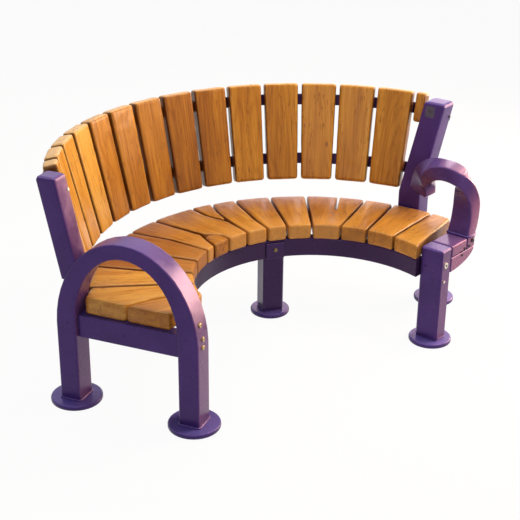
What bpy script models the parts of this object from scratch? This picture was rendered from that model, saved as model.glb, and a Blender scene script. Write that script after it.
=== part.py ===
"""Curved garden bench: timber seat and back on a painted steel frame.

Metres, +Z up. The seat is a segment of a ring, and +Y runs from the ring's centre to the middle of
the back, so the sitter looks towards -Y. A turn is an angle in plan, in degrees from +Y towards +X.
The origin is on the ground, under the middle of the bench's box.
"""
import math

import bmesh
import bpy
from mathutils import Matrix, Vector

# Fits
FIT_GAP = 0.0003
CUT_OVERRUN_LENGTH = 0.05
CUTTER_LENGTH = 0.6
WELD_GAP = 0.00003

# Fineness of the shapes, in degrees and in counts
ARC_STEP_TURN = 4.5
ARCH_STEP_TURN = 7.5
GUSSET_STEP_TURN = 10.0
FLAT_OUTLINE_ANGLE = 0.1
ROUNDED_EDGE_ANGLE = 35.0
SMOOTH_ANGLE = 40.0
FOOT_SIDES = 32
BOLT_SIDES = 12

# Seat
SEAT_HEIGHT = 0.43
SEAT_FRONT_RADIUS = 0.468
SEAT_DEPTH = 0.352
SEAT_BACK_OFFSET = 0.025
SEAT_FLARE_OFFSET = 0.0026
SEAT_FLARE_TURN = -60.0
SEAT_LEFT_OVERHANG_LENGTH = 0.014
PLANK_THICKNESS = 0.066
PLANK_GAP = 0.006
PLANK_ROUND_RADIUS = 0.009
PLANK_LEG_GAP = 0.042
REAR_LEG_GAP = 0.022
REAR_LEG_GAP_TURN = 15.0
SPLIT_WIDTH = 0.009
SEAT_LEFT_TURN = -81.0
SEAT_RIGHT_TURN = 90.8
SEAT_RIGHT_EDGE_TURN = 65.1

# Seat rails and bearers
SEAT_RAIL_HEIGHT = 0.078
SEAT_RAIL_THICKNESS = 0.05
FRONT_RAIL_OFFSET = 0.012
FRONT_RAIL_STRAIGHT_TURN = -70.5
REAR_RAIL_OFFSET = 0.008
REAR_RAIL_LEFT_TURN = -76.0
REAR_RAIL_RIGHT_TURN = 82.0
RAIL_ROUND_RADIUS = 0.004
BEARER_WIDTH = 0.045
BEARER_HEIGHT = 0.055
BEARER_BACK_GAP = 0.0009
BEARER_TURNS = {"left": -36.0, "centre": 15.8, "right": 55.0}
JOINT_PLATE_TURN = 14.3
JOINT_PLATE_WIDTH = 0.08
JOINT_PLATE_THICKNESS = 0.008
JOINT_PLATE_ROUND_RADIUS = 0.002
JOINT_BOLT_RADIUS = 0.0095
JOINT_BOLT_HEAD_HEIGHT = 0.005

# Legs and feet
LEG_WIDTH = 0.08
LEG_DEPTH = 0.092
LEG_ROUND_RADIUS = 0.008
FOOT_RADIUS = 0.0955
RIGHT_FOOT_RADIUS = 0.0865
CENTRE_FOOT_RADIUS = 0.083
FOOT_THICKNESS = 0.02
FOOT_ROUND_RADIUS = 0.006
CENTRE_LEG_WIDTH = 0.09
CENTRE_LEG_TURN = 15.8
CENTRE_LEG_OFFSET = 0.042

# Left end frame
LEFT_LEG_OFFSET = 0.124
LEFT_FRONT_LEG_TURN = -96.4
LEFT_FRAME_TURN = -33.8
LEFT_LEG_SPACING = 0.478
ARM_OFFSET = 0.2415
ARCH_HEIGHT = 0.31
CROWN_THICKNESS = 0.057
END_RAIL_DEPTH = 0.055
END_RAIL_HEIGHT = 0.087
LEFT_POST_WIDTH = 0.08
LEFT_POST_DEPTH = 0.075
LEFT_POST_START_OFFSET = 0.07
LEFT_POST_TOP_OFFSET = 0.004
LEFT_POST_FOOT_OFFSET = 0.026
LEFT_POST_BACK_OFFSET = 0.066
LEFT_POST_OUT_OFFSET = 0.02

# Right end frame
RIGHT_LEG_OFFSET = 0.088
RIGHT_FRONT_LEG_TURN = 92.8
RIGHT_FRAME_TURN = 74.0
RIGHT_LEG_WIDTH = 0.072
RIGHT_LEG_DEPTH = 0.1
RIGHT_LEG_TOP_OFFSET = 0.015
SIDE_RAIL_LENGTH = 0.12
SIDE_RAIL_HEIGHT = 0.05
SIDE_RAIL_ROUND_RADIUS = 0.01
SOCKET_LENGTH = 0.057
GUSSET_HEIGHT = 0.062
RIGHT_END_RAIL_OFFSET = 0.15
RIGHT_REAR_LEG_TURN = 72.9
RIGHT_POST_TURN = 71.5
RIGHT_POST_BASE_TURN = 64.7
RIGHT_POST_WIDTH = 0.104
RIGHT_POST_TOP_WIDTH = 0.098
RIGHT_POST_DEPTH = 0.09
RIGHT_POST_START_OFFSET = 0.13
RIGHT_POST_BEND_OFFSET = 0.055
RIGHT_POST_TOP_OFFSET = 0.001
RIGHT_POST_LEAN_TURN = 8.0
RIGHT_POST_FORWARD_OFFSET = 0.063
RAIL_LAP_TURN = 22.5
POST_PLANK_GAP = 0.009
POST_ROUND_RADIUS = 0.011
POST_CAP_HEIGHT = 0.014

# Arm loop of the right end
LOOP_THICKNESS = 0.062
LOOP_HEIGHT = 0.25
LOOP_ROUND_RADIUS = 0.011
LOOP_CAP_HEIGHT = 0.012
LOOP_LANDING_OFFSET = 0.07
LOOP_STEPS = 4

# Back
SLAT_FOOT_OFFSET = 0.044
SLAT_TOP_OFFSET = 0.451
BACK_OFFSET = 0.06
BACK_CENTRE_OFFSET = 0.035
SLAT_THICKNESS = 0.057
SLAT_GAP = 0.022
SLAT_ROUND_RADIUS = 0.01
SLAT_LEAN_TURN = 13.0
SLAT_COUNT = 15
SLAT_FIRST_TURN = -63.95
SLAT_STEP_TURN = 8.183
SLAT_STEP_GROWTH_TURN = 0.0778
SLAT_LEFT_TURN = -64.9
SLAT_RIGHT_TURN = 64.6
SHORT_SLAT_LENGTH = 0.128
BACK_RAIL_HEIGHT = 0.047
BACK_RAIL_THICKNESS = 0.016
UPPER_RAIL_OFFSET = 0.072
LOWER_RAIL_OFFSET = 0.084
BACK_RAIL_LEFT_TURN = -69.0
BACK_RAIL_RIGHT_TURN = 69.5
BACK_RAIL_STEP_TURN = 2.5
BLOCK_WIDTH = 0.044

# The seams between the planks: each is a line of (share of the seat's depth, turn) from the front
# edge to the back edge. The sixth and seventh seams part round the wedge at the front edge, and the
# eighth and ninth part round the wedge at the back edge.
SEAM_depth_shares = [
    [(0.0, -75.9), (0.45, -77.7), (0.7, -79.6), (1.0, -81.6)],
    [(0.0, -68.6), (1.0, -65.9)],
    [(0.0, -57.6), (0.5, -55.6), (1.0, -53.5)],
    [(0.0, -44.0), (0.4, -42.6), (1.0, -41.6)],
    [(0.0, -30.8), (0.5, -28.4), (1.0, -29.4)],
    [(0.0, -24.6), (0.14, -21.6), (0.31, -18.2), (1.0, -19.0)],
    [(0.0, -12.9), (0.15, -12.9), (0.31, -17.4), (1.0, -19.0)],
    [(0.0, -1.3), (0.4, -1.1), (0.72, -4.4), (1.0, -4.7)],
    [(0.0, -1.3), (0.4, -0.9), (0.72, 0.3), (1.0, 2.2)],
    [(0.0, 10.2), (0.3, 9.1), (1.0, 9.8)],
    [(0.0, 20.4), (1.0, 20.9)],
    [(0.0, 32.9), (1.0, 32.3)],
    [(0.0, 46.6), (0.6, 49.8), (1.0, 50.8)],
    [(0.0, 60.3), (1.0, 60.0)],
    [(0.0, 75.2), (0.5, 73.7), (1.0, 73.2)],
]
WEDGE_FRONT_shares = (0.0, 0.24)
WEDGE_BACK_shares = (0.5, 1.0)
SPLIT_TURN = 42.5
SPLIT_FRONT_share = 0.52

# The arm loop's centre line, from its socket to the back post: shares of the way along, of the same
# distance sideways over the seat, and of the rise; then the turn of the bar's depth at each place.
LOOP_path_shares = [
    (0.0, 0.0, 0.0),
    (0.01, -0.05, 0.23),
    (0.03, -0.08, 0.52),
    (0.06, -0.056, 0.78),
    (0.14, -0.013, 0.915),
    (0.27, 0.029, 0.96),
    (0.44, 0.05, 0.925),
    (0.62, 0.025, 0.815),
    (0.755, -0.022, 0.65),
    (0.8, -0.05, 0.43),
]
LOOP_DEPTH_TURNS = [164.0, 168.0, 178.0, 205.0, 232.0, 240.0, 225.0, 208.0, 192.0, 178.0]
LOOP_CAP_share = 0.8
POST_CAP_shares = [(0.65, 0.92), (1.0, 0.72)]
BOLT_HEAD_shares = (1.0, 0.75)

# Heights and radii that follow from the sizes above
ARM_HEIGHT = SEAT_HEIGHT + ARM_OFFSET
SLAT_FOOT_HEIGHT = SEAT_HEIGHT + SLAT_FOOT_OFFSET
SLAT_TOP_HEIGHT = SEAT_HEIGHT + SLAT_TOP_OFFSET
LEFT_POST_START_HEIGHT = SEAT_HEIGHT + LEFT_POST_START_OFFSET
LEFT_POST_TOP_HEIGHT = SLAT_TOP_HEIGHT - LEFT_POST_TOP_OFFSET
RIGHT_LEG_TOP_HEIGHT = SEAT_HEIGHT - RIGHT_LEG_TOP_OFFSET
RIGHT_POST_START_HEIGHT = SEAT_HEIGHT - RIGHT_POST_START_OFFSET
RIGHT_POST_BEND_HEIGHT = SEAT_HEIGHT + RIGHT_POST_BEND_OFFSET
RIGHT_POST_TOP_HEIGHT = SLAT_TOP_HEIGHT - RIGHT_POST_TOP_OFFSET
LOOP_LANDING_HEIGHT = SEAT_HEIGHT + LOOP_LANDING_OFFSET
PLANK_UNDERSIDE = SEAT_HEIGHT - PLANK_THICKNESS
RAIL_TOP = PLANK_UNDERSIDE - FIT_GAP
SEAT_BACK_RADIUS = SEAT_FRONT_RADIUS + SEAT_DEPTH
FRONT_RAIL_RADIUS = SEAT_FRONT_RADIUS + FRONT_RAIL_OFFSET + SEAT_RAIL_THICKNESS / 2
REAR_RAIL_OUTER = SEAT_BACK_RADIUS + REAR_RAIL_OFFSET
REAR_RAIL_RADIUS = REAR_RAIL_OUTER - SEAT_RAIL_THICKNESS / 2
BACK_RADIUS = SEAT_BACK_RADIUS + BACK_OFFSET
BACK_CENTRE = Vector((0.0, BACK_CENTRE_OFFSET, 0.0))
LEAN = math.radians(SLAT_LEAN_TURN)
POST_LEAN = math.radians(RIGHT_POST_LEAN_TURN)
SLAT_LENGTH = (SLAT_TOP_HEIGHT - SLAT_FOOT_HEIGHT) / math.cos(LEAN)
BACK_RAIL_HEIGHTS = {
    "upper": SLAT_TOP_HEIGHT - UPPER_RAIL_OFFSET,
    "lower": SLAT_FOOT_HEIGHT + LOWER_RAIL_OFFSET,
}
LEG_FOOT = FOOT_THICKNESS + FIT_GAP
ARCH_RADIUS = LEFT_LEG_SPACING / 2
ARCH_SPRING = ARM_HEIGHT - CROWN_THICKNESS / 2 - ARCH_HEIGHT
SOCKET_START = RIGHT_LEG_WIDTH / 2 + SIDE_RAIL_LENGTH
SIDE_RAIL_BASE = RIGHT_LEG_TOP_HEIGHT - SIDE_RAIL_HEIGHT

PARTS = None
CUTTERS = None
BENCH = None


# Places

def polar(radius, turn, height=0.0):
    angle = math.radians(turn)
    return Vector((radius * math.sin(angle), radius * math.cos(angle), height))


def facing(origin, turn):
    """A place whose own +Y points along the turn and whose own +X points to its right."""
    return Matrix.Translation(origin) @ Matrix.Rotation(-math.radians(turn), 4, "Z")


def station(origin, x_axis, y_axis):
    """A place from its origin and two axes; its own +Z is their cross product."""
    place = Matrix.Identity(4)
    place.col[0][:3] = x_axis
    place.col[1][:3] = y_axis
    place.col[2][:3] = x_axis.cross(y_axis)
    place.col[3][:3] = origin
    return place


def turn_of(point):
    return math.degrees(math.atan2(point.x, point.y))


LEFT_FRAME = facing(polar(SEAT_FRONT_RADIUS + LEFT_LEG_OFFSET, LEFT_FRONT_LEG_TURN), LEFT_FRAME_TURN)
RIGHT_FRAME = facing(polar(SEAT_FRONT_RADIUS + RIGHT_LEG_OFFSET, RIGHT_FRONT_LEG_TURN), RIGHT_FRAME_TURN)
RIGHT_REAR_LEG = facing(
    polar(REAR_RAIL_OUTER + FIT_GAP + LEG_WIDTH / 2, RIGHT_REAR_LEG_TURN), RIGHT_REAR_LEG_TURN)
CENTRE_LEG = facing(
    polar(SEAT_FRONT_RADIUS + FRONT_RAIL_OFFSET + CENTRE_LEG_OFFSET + CENTRE_LEG_WIDTH / 2,
          CENTRE_LEG_TURN),
    CENTRE_LEG_TURN)


# Scene and finishes

def clear_scene():
    for leftover in list(bpy.data.objects):
        bpy.data.objects.remove(leftover, do_unlink=True)


def new_collection(name):
    collection = bpy.data.collections.new(name)
    bpy.context.scene.collection.children.link(collection)
    return collection


def finish_of(name, colour, roughness, metallic):
    material = bpy.data.materials.new(name + "_finish")
    material.use_nodes = True
    shader = material.node_tree.nodes["Principled BSDF"]
    shader.inputs["Base Color"].default_value = (*colour, 1.0)
    shader.inputs["Roughness"].default_value = roughness
    shader.inputs["Metallic"].default_value = metallic
    return material


def purple_paint(name):
    return finish_of(name, (0.09, 0.04, 0.16), 0.38, 0.0)


def dark_paint(name):
    return finish_of(name, (0.03, 0.015, 0.05), 0.45, 0.0)


def seat_wood(name):
    return finish_of(name, (0.62, 0.28, 0.07), 0.42, 0.0)


def back_wood(name):
    return finish_of(name, (0.55, 0.24, 0.06), 0.45, 0.0)


def brassy_metal(name):
    return finish_of(name, (0.6, 0.5, 0.32), 0.35, 1.0)


def add_part(name, mesh, finish, place=None):
    part = bpy.data.objects.new(name, mesh)
    mesh.materials.append(finish(name))
    PARTS.objects.link(part)
    part.parent = BENCH
    if place is not None:
        part.matrix_local = place
    return part


def add_cutter(name, mesh, place=None):
    cutter = bpy.data.objects.new(name, mesh)
    cutter.hide_render = True
    cutter.display_type = "WIRE"
    CUTTERS.objects.link(cutter)
    cutter.parent = BENCH
    if place is not None:
        cutter.matrix_local = place
    return cutter


def mesh_from(bm, name):
    bmesh.ops.recalc_face_normals(bm, faces=bm.faces[:])
    mesh = bpy.data.meshes.new(name)
    bm.to_mesh(mesh)
    bm.free()
    return mesh


def round_edges(part, width, segments=2):
    bevel = part.modifiers.new("rounded_edges", "BEVEL")
    bevel.width = width
    bevel.segments = segments
    bevel.limit_method = "ANGLE"
    bevel.angle_limit = math.radians(ROUNDED_EDGE_ANGLE)


def cut(part, cutter):
    boolean = part.modifiers.new("cut_by_" + cutter.name, "BOOLEAN")
    boolean.operation = "DIFFERENCE"
    boolean.solver = "EXACT"
    boolean.object = cutter


# Shapes

def box_mesh(name, low, high):
    """A box between two corners, in the part's own frame."""
    bm = bmesh.new()
    size = Vector(high) - Vector(low)
    middle = (Vector(high) + Vector(low)) / 2
    bmesh.ops.create_cube(bm, size=1.0, matrix=Matrix.Translation(middle) @ Matrix.Diagonal((*size, 1.0)))
    return mesh_from(bm, name)


def outline_mesh(name, points, low, high, upright=False):
    """A flat outline, filled and given a thickness; an upright one stands in its own YZ plane."""
    curve = bpy.data.curves.new(name + "_outline", "CURVE")
    curve.dimensions = "2D"
    curve.fill_mode = "BOTH"
    curve.extrude = (high - low) / 2
    spline = curve.splines.new("POLY")
    spline.points.add(len(points) - 1)
    for point, (x, y) in zip(spline.points, points):
        point.co = (x, y, 0.0, 1.0)
    spline.use_cyclic_u = True
    drawn = bpy.data.objects.new(curve.name, curve)
    CUTTERS.objects.link(drawn)
    bpy.context.view_layer.update()
    evaluated = drawn.evaluated_get(bpy.context.evaluated_depsgraph_get())
    raw = bpy.data.meshes.new_from_object(evaluated)
    bpy.data.objects.remove(drawn, do_unlink=True)
    bm = bmesh.new()
    bm.from_mesh(raw)
    bpy.data.meshes.remove(raw)
    bmesh.ops.remove_doubles(bm, verts=bm.verts[:], dist=WELD_GAP)
    bmesh.ops.dissolve_limit(bm, angle_limit=math.radians(FLAT_OUTLINE_ANGLE), verts=bm.verts[:],
                             edges=bm.edges[:])
    bmesh.ops.translate(bm, verts=bm.verts[:], vec=(0.0, 0.0, (low + high) / 2))
    if upright:
        stand = Matrix(((0, 0, 1, 0), (1, 0, 0, 0), (0, 1, 0, 0), (0, 0, 0, 1)))
        bmesh.ops.transform(bm, matrix=stand, verts=bm.verts[:])
    return mesh_from(bm, name)


def rounded_section(width, depth, rounding, corner_steps=2):
    """The corners of a rectangle with rounded corners, about its middle."""
    corners = []
    centres = [(1, 1), (-1, 1), (-1, -1), (1, -1)]
    for quarter, (side_x, side_y) in enumerate(centres):
        for step in range(corner_steps + 1):
            angle = math.radians(90.0) * (quarter + step / corner_steps)
            x = side_x * (width / 2 - rounding) + rounding * math.cos(angle)
            y = side_y * (depth / 2 - rounding) + rounding * math.sin(angle)
            corners.append((x, y))
    return corners


def swept_mesh(name, stations, section):
    """A bar: its section is extruded from station to station, each time in the section's plane."""
    bm = bmesh.new()
    ring = [bm.verts.new(stations[0] @ Vector((x, y, 0.0))) for x, y in section]
    face = bm.faces.new(ring)
    for before, after in zip(stations, stations[1:]):
        grown = bmesh.ops.extrude_face_region(bm, geom=[face, *face.edges, *face.verts])["geom"]
        face = next(piece for piece in grown if isinstance(piece, bmesh.types.BMFace))
        bmesh.ops.transform(bm, matrix=after @ before.inverted(), verts=face.verts[:])
    return mesh_from(bm, name)


def half_space_cutter(name, place, edge):
    """A large box that fills the side of a place where its own x is more than the edge."""
    reach = CUTTER_LENGTH
    low = (edge, -reach, -reach)
    high = (edge + reach, reach, reach)
    return add_cutter(name, box_mesh(name, low, high), place)


def arc_turns(start, end, step):
    count = max(1, math.ceil(abs(end - start) / step))
    return [start + (end - start) * index / count for index in range(count + 1)]


def leaning(place, lean):
    """The same place, leaned back about its own X."""
    return place @ Matrix.Rotation(-lean, 4, "X")


def arc_stations(radius, height, turns, lean=0.0, centre=Vector()):
    """Stations round a plan centre; the section's x points outwards and its y upwards."""
    stations = []
    for turn in turns:
        place = leaning(facing(centre + polar(radius, turn, height), turn), lean)
        axes = place.to_3x3()
        stations.append(station(place.translation, axes.col[1], axes.col[2]))
    return stations


# Seat planks

def seat_back_radius(turn):
    """The back edge is a circle whose centre is shifted to the left; it flares out at its left end."""
    flare = SEAT_FLARE_OFFSET * max(0.0, SEAT_FLARE_TURN - turn)
    return SEAT_BACK_RADIUS - SEAT_BACK_OFFSET * math.sin(math.radians(turn)) + flare


def seam_turn(seam, share):
    for (share_a, turn_a), (share_b, turn_b) in zip(seam, seam[1:]):
        if share <= share_b:
            return turn_a + (turn_b - turn_a) * (share - share_a) / (share_b - share_a)
    return seam[-1][1]


def seam_point(seam, share, side):
    """A point beside a seam; side is 1 for the plank after it and -1 for the plank before it."""
    turn = seam_turn(seam, share)
    radius = SEAT_FRONT_RADIUS + share * (seat_back_radius(turn) - SEAT_FRONT_RADIUS)
    return polar(radius, turn + side * math.degrees(PLANK_GAP / 2 / radius))


def plank_outline(before, after, front_share=0.0, back_share=1.0):
    """The plan outline between two seams, from one share of the seat's depth to another."""
    shares = [share for share, _ in before if front_share < share < back_share]
    points = [seam_point(before, share, 1) for share in [front_share, *shares, back_share]]
    if back_share == 1.0:
        turns = arc_turns(turn_of(points[-1]), turn_of(seam_point(after, 1.0, -1)), ARC_STEP_TURN)
        points += [polar(seat_back_radius(turn), turn) for turn in turns[1:-1]]
    shares = [share for share, _ in after if front_share < share < back_share]
    points += [seam_point(after, share, -1) for share in [back_share, *reversed(shares), front_share]]
    if front_share == 0.0:
        turns = arc_turns(turn_of(points[-1]), turn_of(points[0]), ARC_STEP_TURN)
        points += [polar(SEAT_FRONT_RADIUS, turn) for turn in turns[1:-1]]
    return [Vector((point.x, point.y)) for point in points]


def clipped(points, place, edge):
    """The part of an outline where the place's own x is at least the edge."""
    inverse = place.inverted()
    kept = []
    for index, point in enumerate(points):
        previous = points[index - 1]
        here = (inverse @ point.to_3d()).x - edge
        there = (inverse @ previous.to_3d()).x - edge
        if here * there < 0:
            kept.append(previous.lerp(point, there / (there - here)))
        if here >= 0:
            kept.append(point)
    spaced = []
    for index, point in enumerate(kept):
        if (point - kept[index - 1]).length > PLANK_ROUND_RADIUS:
            spaced.append(point)
    return spaced


def seat_end_edges():
    """Places whose own +X points into the seat, for its cut edges at the two ends."""
    left_cut = LEFT_FRAME @ Matrix.Translation((-SEAT_LEFT_OVERHANG_LENGTH, 0.0, 0.0))
    corner = left_cut @ Vector((0.0, LEG_WIDTH / 2 + PLANK_LEG_GAP, 0.0))
    front_end = polar(SEAT_FRONT_RADIUS, SEAT_LEFT_TURN)
    left_front = facing(corner, turn_of(corner - front_end))
    rear_corner = left_cut @ Vector((0.0, LEFT_LEG_SPACING - LEG_WIDTH / 2 - REAR_LEG_GAP, 0.0))
    left_rear = facing(rear_corner, LEFT_FRAME_TURN + 90.0 - REAR_LEG_GAP_TURN)
    right_cut = facing(polar(SEAT_FRONT_RADIUS, SEAT_RIGHT_TURN), SEAT_RIGHT_EDGE_TURN + 180.0)
    return left_cut, left_front, left_rear, right_cut


def build_seat():
    left_cut, left_front, left_rear, right_cut = seat_end_edges()
    start = [(0.0, LEFT_FRONT_LEG_TURN), (1.0, LEFT_FRONT_LEG_TURN)]
    end = [(0.0, SEAT_RIGHT_TURN + ARC_STEP_TURN), (1.0, SEAT_RIGHT_TURN + ARC_STEP_TURN)]
    seams = [start, *SEAM_depth_shares, end]
    outlines = [plank_outline(before, after) for before, after in zip(seams, seams[1:])]
    outlines[0] = clipped(clipped(outlines[0], left_cut, 0.0), left_front, 0.0)
    outlines[1] = clipped(clipped(outlines[1], left_cut, 0.0), left_rear, 0.0)
    outlines[6] = plank_outline(seams[6], seams[7], *WEDGE_FRONT_shares)
    outlines[8] = plank_outline(seams[8], seams[9], *WEDGE_BACK_shares)
    outlines[-1] = clipped(outlines[-1], right_cut, 0.0)
    planks = []
    for number, outline in enumerate(outlines, start=1):
        name = f"seat_plank_{number:02d}"
        plank = add_part(name, outline_mesh(name, outline, PLANK_UNDERSIDE, SEAT_HEIGHT), seat_wood)
        round_edges(plank, PLANK_ROUND_RADIUS)
        planks.append(plank)
    split_plank = planks[12]
    front = SEAT_FRONT_RADIUS + SPLIT_FRONT_share * SEAT_DEPTH
    back = SEAT_BACK_RADIUS + CUT_OVERRUN_LENGTH
    low = (-SPLIT_WIDTH / 2, front, PLANK_UNDERSIDE - CUT_OVERRUN_LENGTH)
    high = (SPLIT_WIDTH / 2, back, SEAT_HEIGHT + CUT_OVERRUN_LENGTH)
    cut(split_plank, add_cutter("split_cutter", box_mesh("split_cutter", low, high),
                                facing(Vector(), SPLIT_TURN)))


# Rails and bearers under the seat

def rear_rail_turns():
    return arc_turns(REAR_RAIL_LEFT_TURN, REAR_RAIL_RIGHT_TURN, ARC_STEP_TURN)


def build_seat_rails():
    section = rounded_section(SEAT_RAIL_THICKNESS, SEAT_RAIL_HEIGHT, RAIL_ROUND_RADIUS, 1)
    height = RAIL_TOP - SEAT_RAIL_HEIGHT / 2
    joint_turn = JOINT_PLATE_TURN + math.degrees(JOINT_PLATE_WIDTH / 2 / FRONT_RAIL_RADIUS)
    half_gap = math.degrees(FIT_GAP / FRONT_RAIL_RADIUS)
    turns = arc_turns(FRONT_RAIL_STRAIGHT_TURN, joint_turn - half_gap, ARC_STEP_TURN)
    curved = arc_stations(FRONT_RAIL_RADIUS, height, turns)
    onward = polar(CUTTER_LENGTH / 2, FRONT_RAIL_STRAIGHT_TURN - 90.0)
    stations = [Matrix.Translation(onward) @ curved[0], *curved]
    left = add_part("front_seat_rail_left", swept_mesh("front_seat_rail_left", stations, section),
                    purple_paint)
    behind_left_leg = LEFT_FRAME @ Matrix.Rotation(math.pi, 4, "Z")
    cut(left, half_space_cutter("left_leg_plane", behind_left_leg, -LEG_DEPTH / 2 - FIT_GAP))

    turns = arc_turns(joint_turn + half_gap, RIGHT_FRONT_LEG_TURN, ARC_STEP_TURN)
    stations = arc_stations(FRONT_RAIL_RADIUS, height, turns)
    right = add_part("front_seat_rail_right", swept_mesh("front_seat_rail_right", stations, section),
                     purple_paint)
    cut(right, half_space_cutter("right_leg_plane", RIGHT_FRAME, -RIGHT_LEG_DEPTH / 2 - FIT_GAP))

    stations = arc_stations(REAR_RAIL_RADIUS, height, rear_rail_turns())
    rear = add_part("rear_seat_rail", swept_mesh("rear_seat_rail", stations, section), purple_paint)
    cut(rear, half_space_cutter("left_end_rail_plane", behind_left_leg, -END_RAIL_DEPTH / 2 - FIT_GAP))
    cut(rear, half_space_cutter("right_end_rail_plane", right_end_rail_place(),
                                -SEAT_RAIL_THICKNESS / 2 - FIT_GAP))


def build_bearers():
    front = FRONT_RAIL_RADIUS + SEAT_RAIL_THICKNESS / 2 + FIT_GAP
    back = REAR_RAIL_RADIUS - SEAT_RAIL_THICKNESS / 2 - BEARER_BACK_GAP
    base = RAIL_TOP - SEAT_RAIL_HEIGHT
    for side, turn in BEARER_TURNS.items():
        name = "cross_bearer_" + side
        low = (-BEARER_WIDTH / 2, front, base)
        high = (BEARER_WIDTH / 2, back, base + BEARER_HEIGHT)
        bearer = add_part(name, box_mesh(name, low, high), purple_paint, facing(Vector(), turn))
        round_edges(bearer, RAIL_ROUND_RADIUS, 1)


def build_joint_plate():
    face = FRONT_RAIL_RADIUS - SEAT_RAIL_THICKNESS / 2 - 2 * FIT_GAP
    low = (-JOINT_PLATE_WIDTH / 2, face - JOINT_PLATE_THICKNESS, RAIL_TOP - SEAT_RAIL_HEIGHT)
    sag = face - math.sqrt(face ** 2 - (JOINT_PLATE_WIDTH / 2) ** 2)
    high = (JOINT_PLATE_WIDTH / 2, face - sag, RAIL_TOP - PLANK_ROUND_RADIUS)
    place = facing(Vector(), JOINT_PLATE_TURN)
    plate = add_part("rail_joint_plate", box_mesh("rail_joint_plate", low, high), purple_paint, place)
    round_edges(plate, JOINT_PLATE_ROUND_RADIUS, 1)

    radii = [share * JOINT_BOLT_RADIUS for share in BOLT_HEAD_shares]
    bm = bmesh.new()
    bmesh.ops.create_cone(bm, cap_ends=True, segments=BOLT_SIDES, radius1=radii[0], radius2=radii[1],
                          depth=JOINT_BOLT_HEAD_HEIGHT)
    reach = low[1] - FIT_GAP - JOINT_BOLT_HEAD_HEIGHT / 2
    place = place @ Matrix.Translation((0.0, reach, RAIL_TOP - SEAT_RAIL_HEIGHT / 2))
    add_part("rail_joint_bolt", mesh_from(bm, "rail_joint_bolt"), brassy_metal,
             place @ Matrix.Rotation(math.radians(90.0), 4, "X"))


# Legs, feet and the left end frame

def build_foot(name, radius, place):
    bm = bmesh.new()
    middle = Matrix.Translation((0.0, 0.0, FOOT_THICKNESS / 2))
    bmesh.ops.create_cone(bm, cap_ends=True, segments=FOOT_SIDES, radius1=radius, radius2=radius,
                          depth=FOOT_THICKNESS, matrix=middle)
    foot = add_part(name, mesh_from(bm, name), purple_paint, place)
    round_edges(foot, FOOT_ROUND_RADIUS)
    foot.data.shade_smooth()
    foot.data.set_sharp_from_angle(angle=math.radians(SMOOTH_ANGLE))


def leg_box(name, width, depth, top, place):
    low = (-depth / 2, -width / 2, LEG_FOOT)
    high = (depth / 2, width / 2, top)
    leg = add_part(name, box_mesh(name, low, high), purple_paint, place)
    round_edges(leg, LEG_ROUND_RADIUS)
    return leg


def arch_stations():
    """From the front leg's foot up, over the arm and down to the rear leg's foot."""
    depth_axis = Vector((1, 0, 0))
    stations = []
    for height in (LEG_FOOT, ARCH_SPRING):
        stations.append(station(Vector((0, 0, height)), depth_axis, Vector((0, 1, 0))))
    for turn in arc_turns(0.0, 180.0, ARCH_STEP_TURN)[1:-1]:
        angle = math.radians(turn)
        along = ARCH_RADIUS * (1 - math.cos(angle))
        height = ARCH_SPRING + ARCH_HEIGHT * math.sin(angle)
        slimming = 1 - (1 - CROWN_THICKNESS / LEG_WIDTH) * math.sin(angle)
        inward = Vector((0, ARCH_HEIGHT * math.cos(angle), -ARCH_RADIUS * math.sin(angle))).normalized()
        place = station(Vector((0, along, height)), depth_axis, inward)
        stations.append(place @ Matrix.Diagonal((1.0, slimming, 1.0, 1.0)))
    for height in (ARCH_SPRING, LEG_FOOT):
        stations.append(station(Vector((0, LEFT_LEG_SPACING, height)), depth_axis, Vector((0, -1, 0))))
    return stations


def post_stations(places):
    """Level stations up a post; the last ones draw in to a rounded cap."""
    stations = []
    for height, place in places:
        stations.append(place @ Matrix.Translation((0, 0, height)))
    for rise_share, width_share in POST_CAP_shares:
        lift = Matrix.Translation((0, 0, rise_share * POST_CAP_HEIGHT))
        stations.append(stations[len(places) - 1] @ lift @ Matrix.Diagonal((width_share, width_share, 1, 1)))
    return stations


def left_post_place(height):
    risen = (height - LEFT_POST_START_HEIGHT) / (LEFT_POST_TOP_HEIGHT - LEFT_POST_START_HEIGHT)
    along = LEFT_LEG_SPACING - LEFT_POST_FOOT_OFFSET + LEFT_POST_BACK_OFFSET * risen
    lean = Vector((-LEFT_POST_OUT_OFFSET * risen, along, 0.0))
    return LEFT_FRAME @ Matrix.Translation(lean)


def left_post_mesh(name, growth):
    section = rounded_section(LEFT_POST_DEPTH + 2 * growth, LEFT_POST_WIDTH + 2 * growth,
                              POST_ROUND_RADIUS + growth)
    heights = (LEFT_POST_START_HEIGHT, LEFT_POST_TOP_HEIGHT - POST_CAP_HEIGHT)
    places = [(height, left_post_place(height)) for height in heights]
    return swept_mesh(name, post_stations(places), section)


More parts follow.
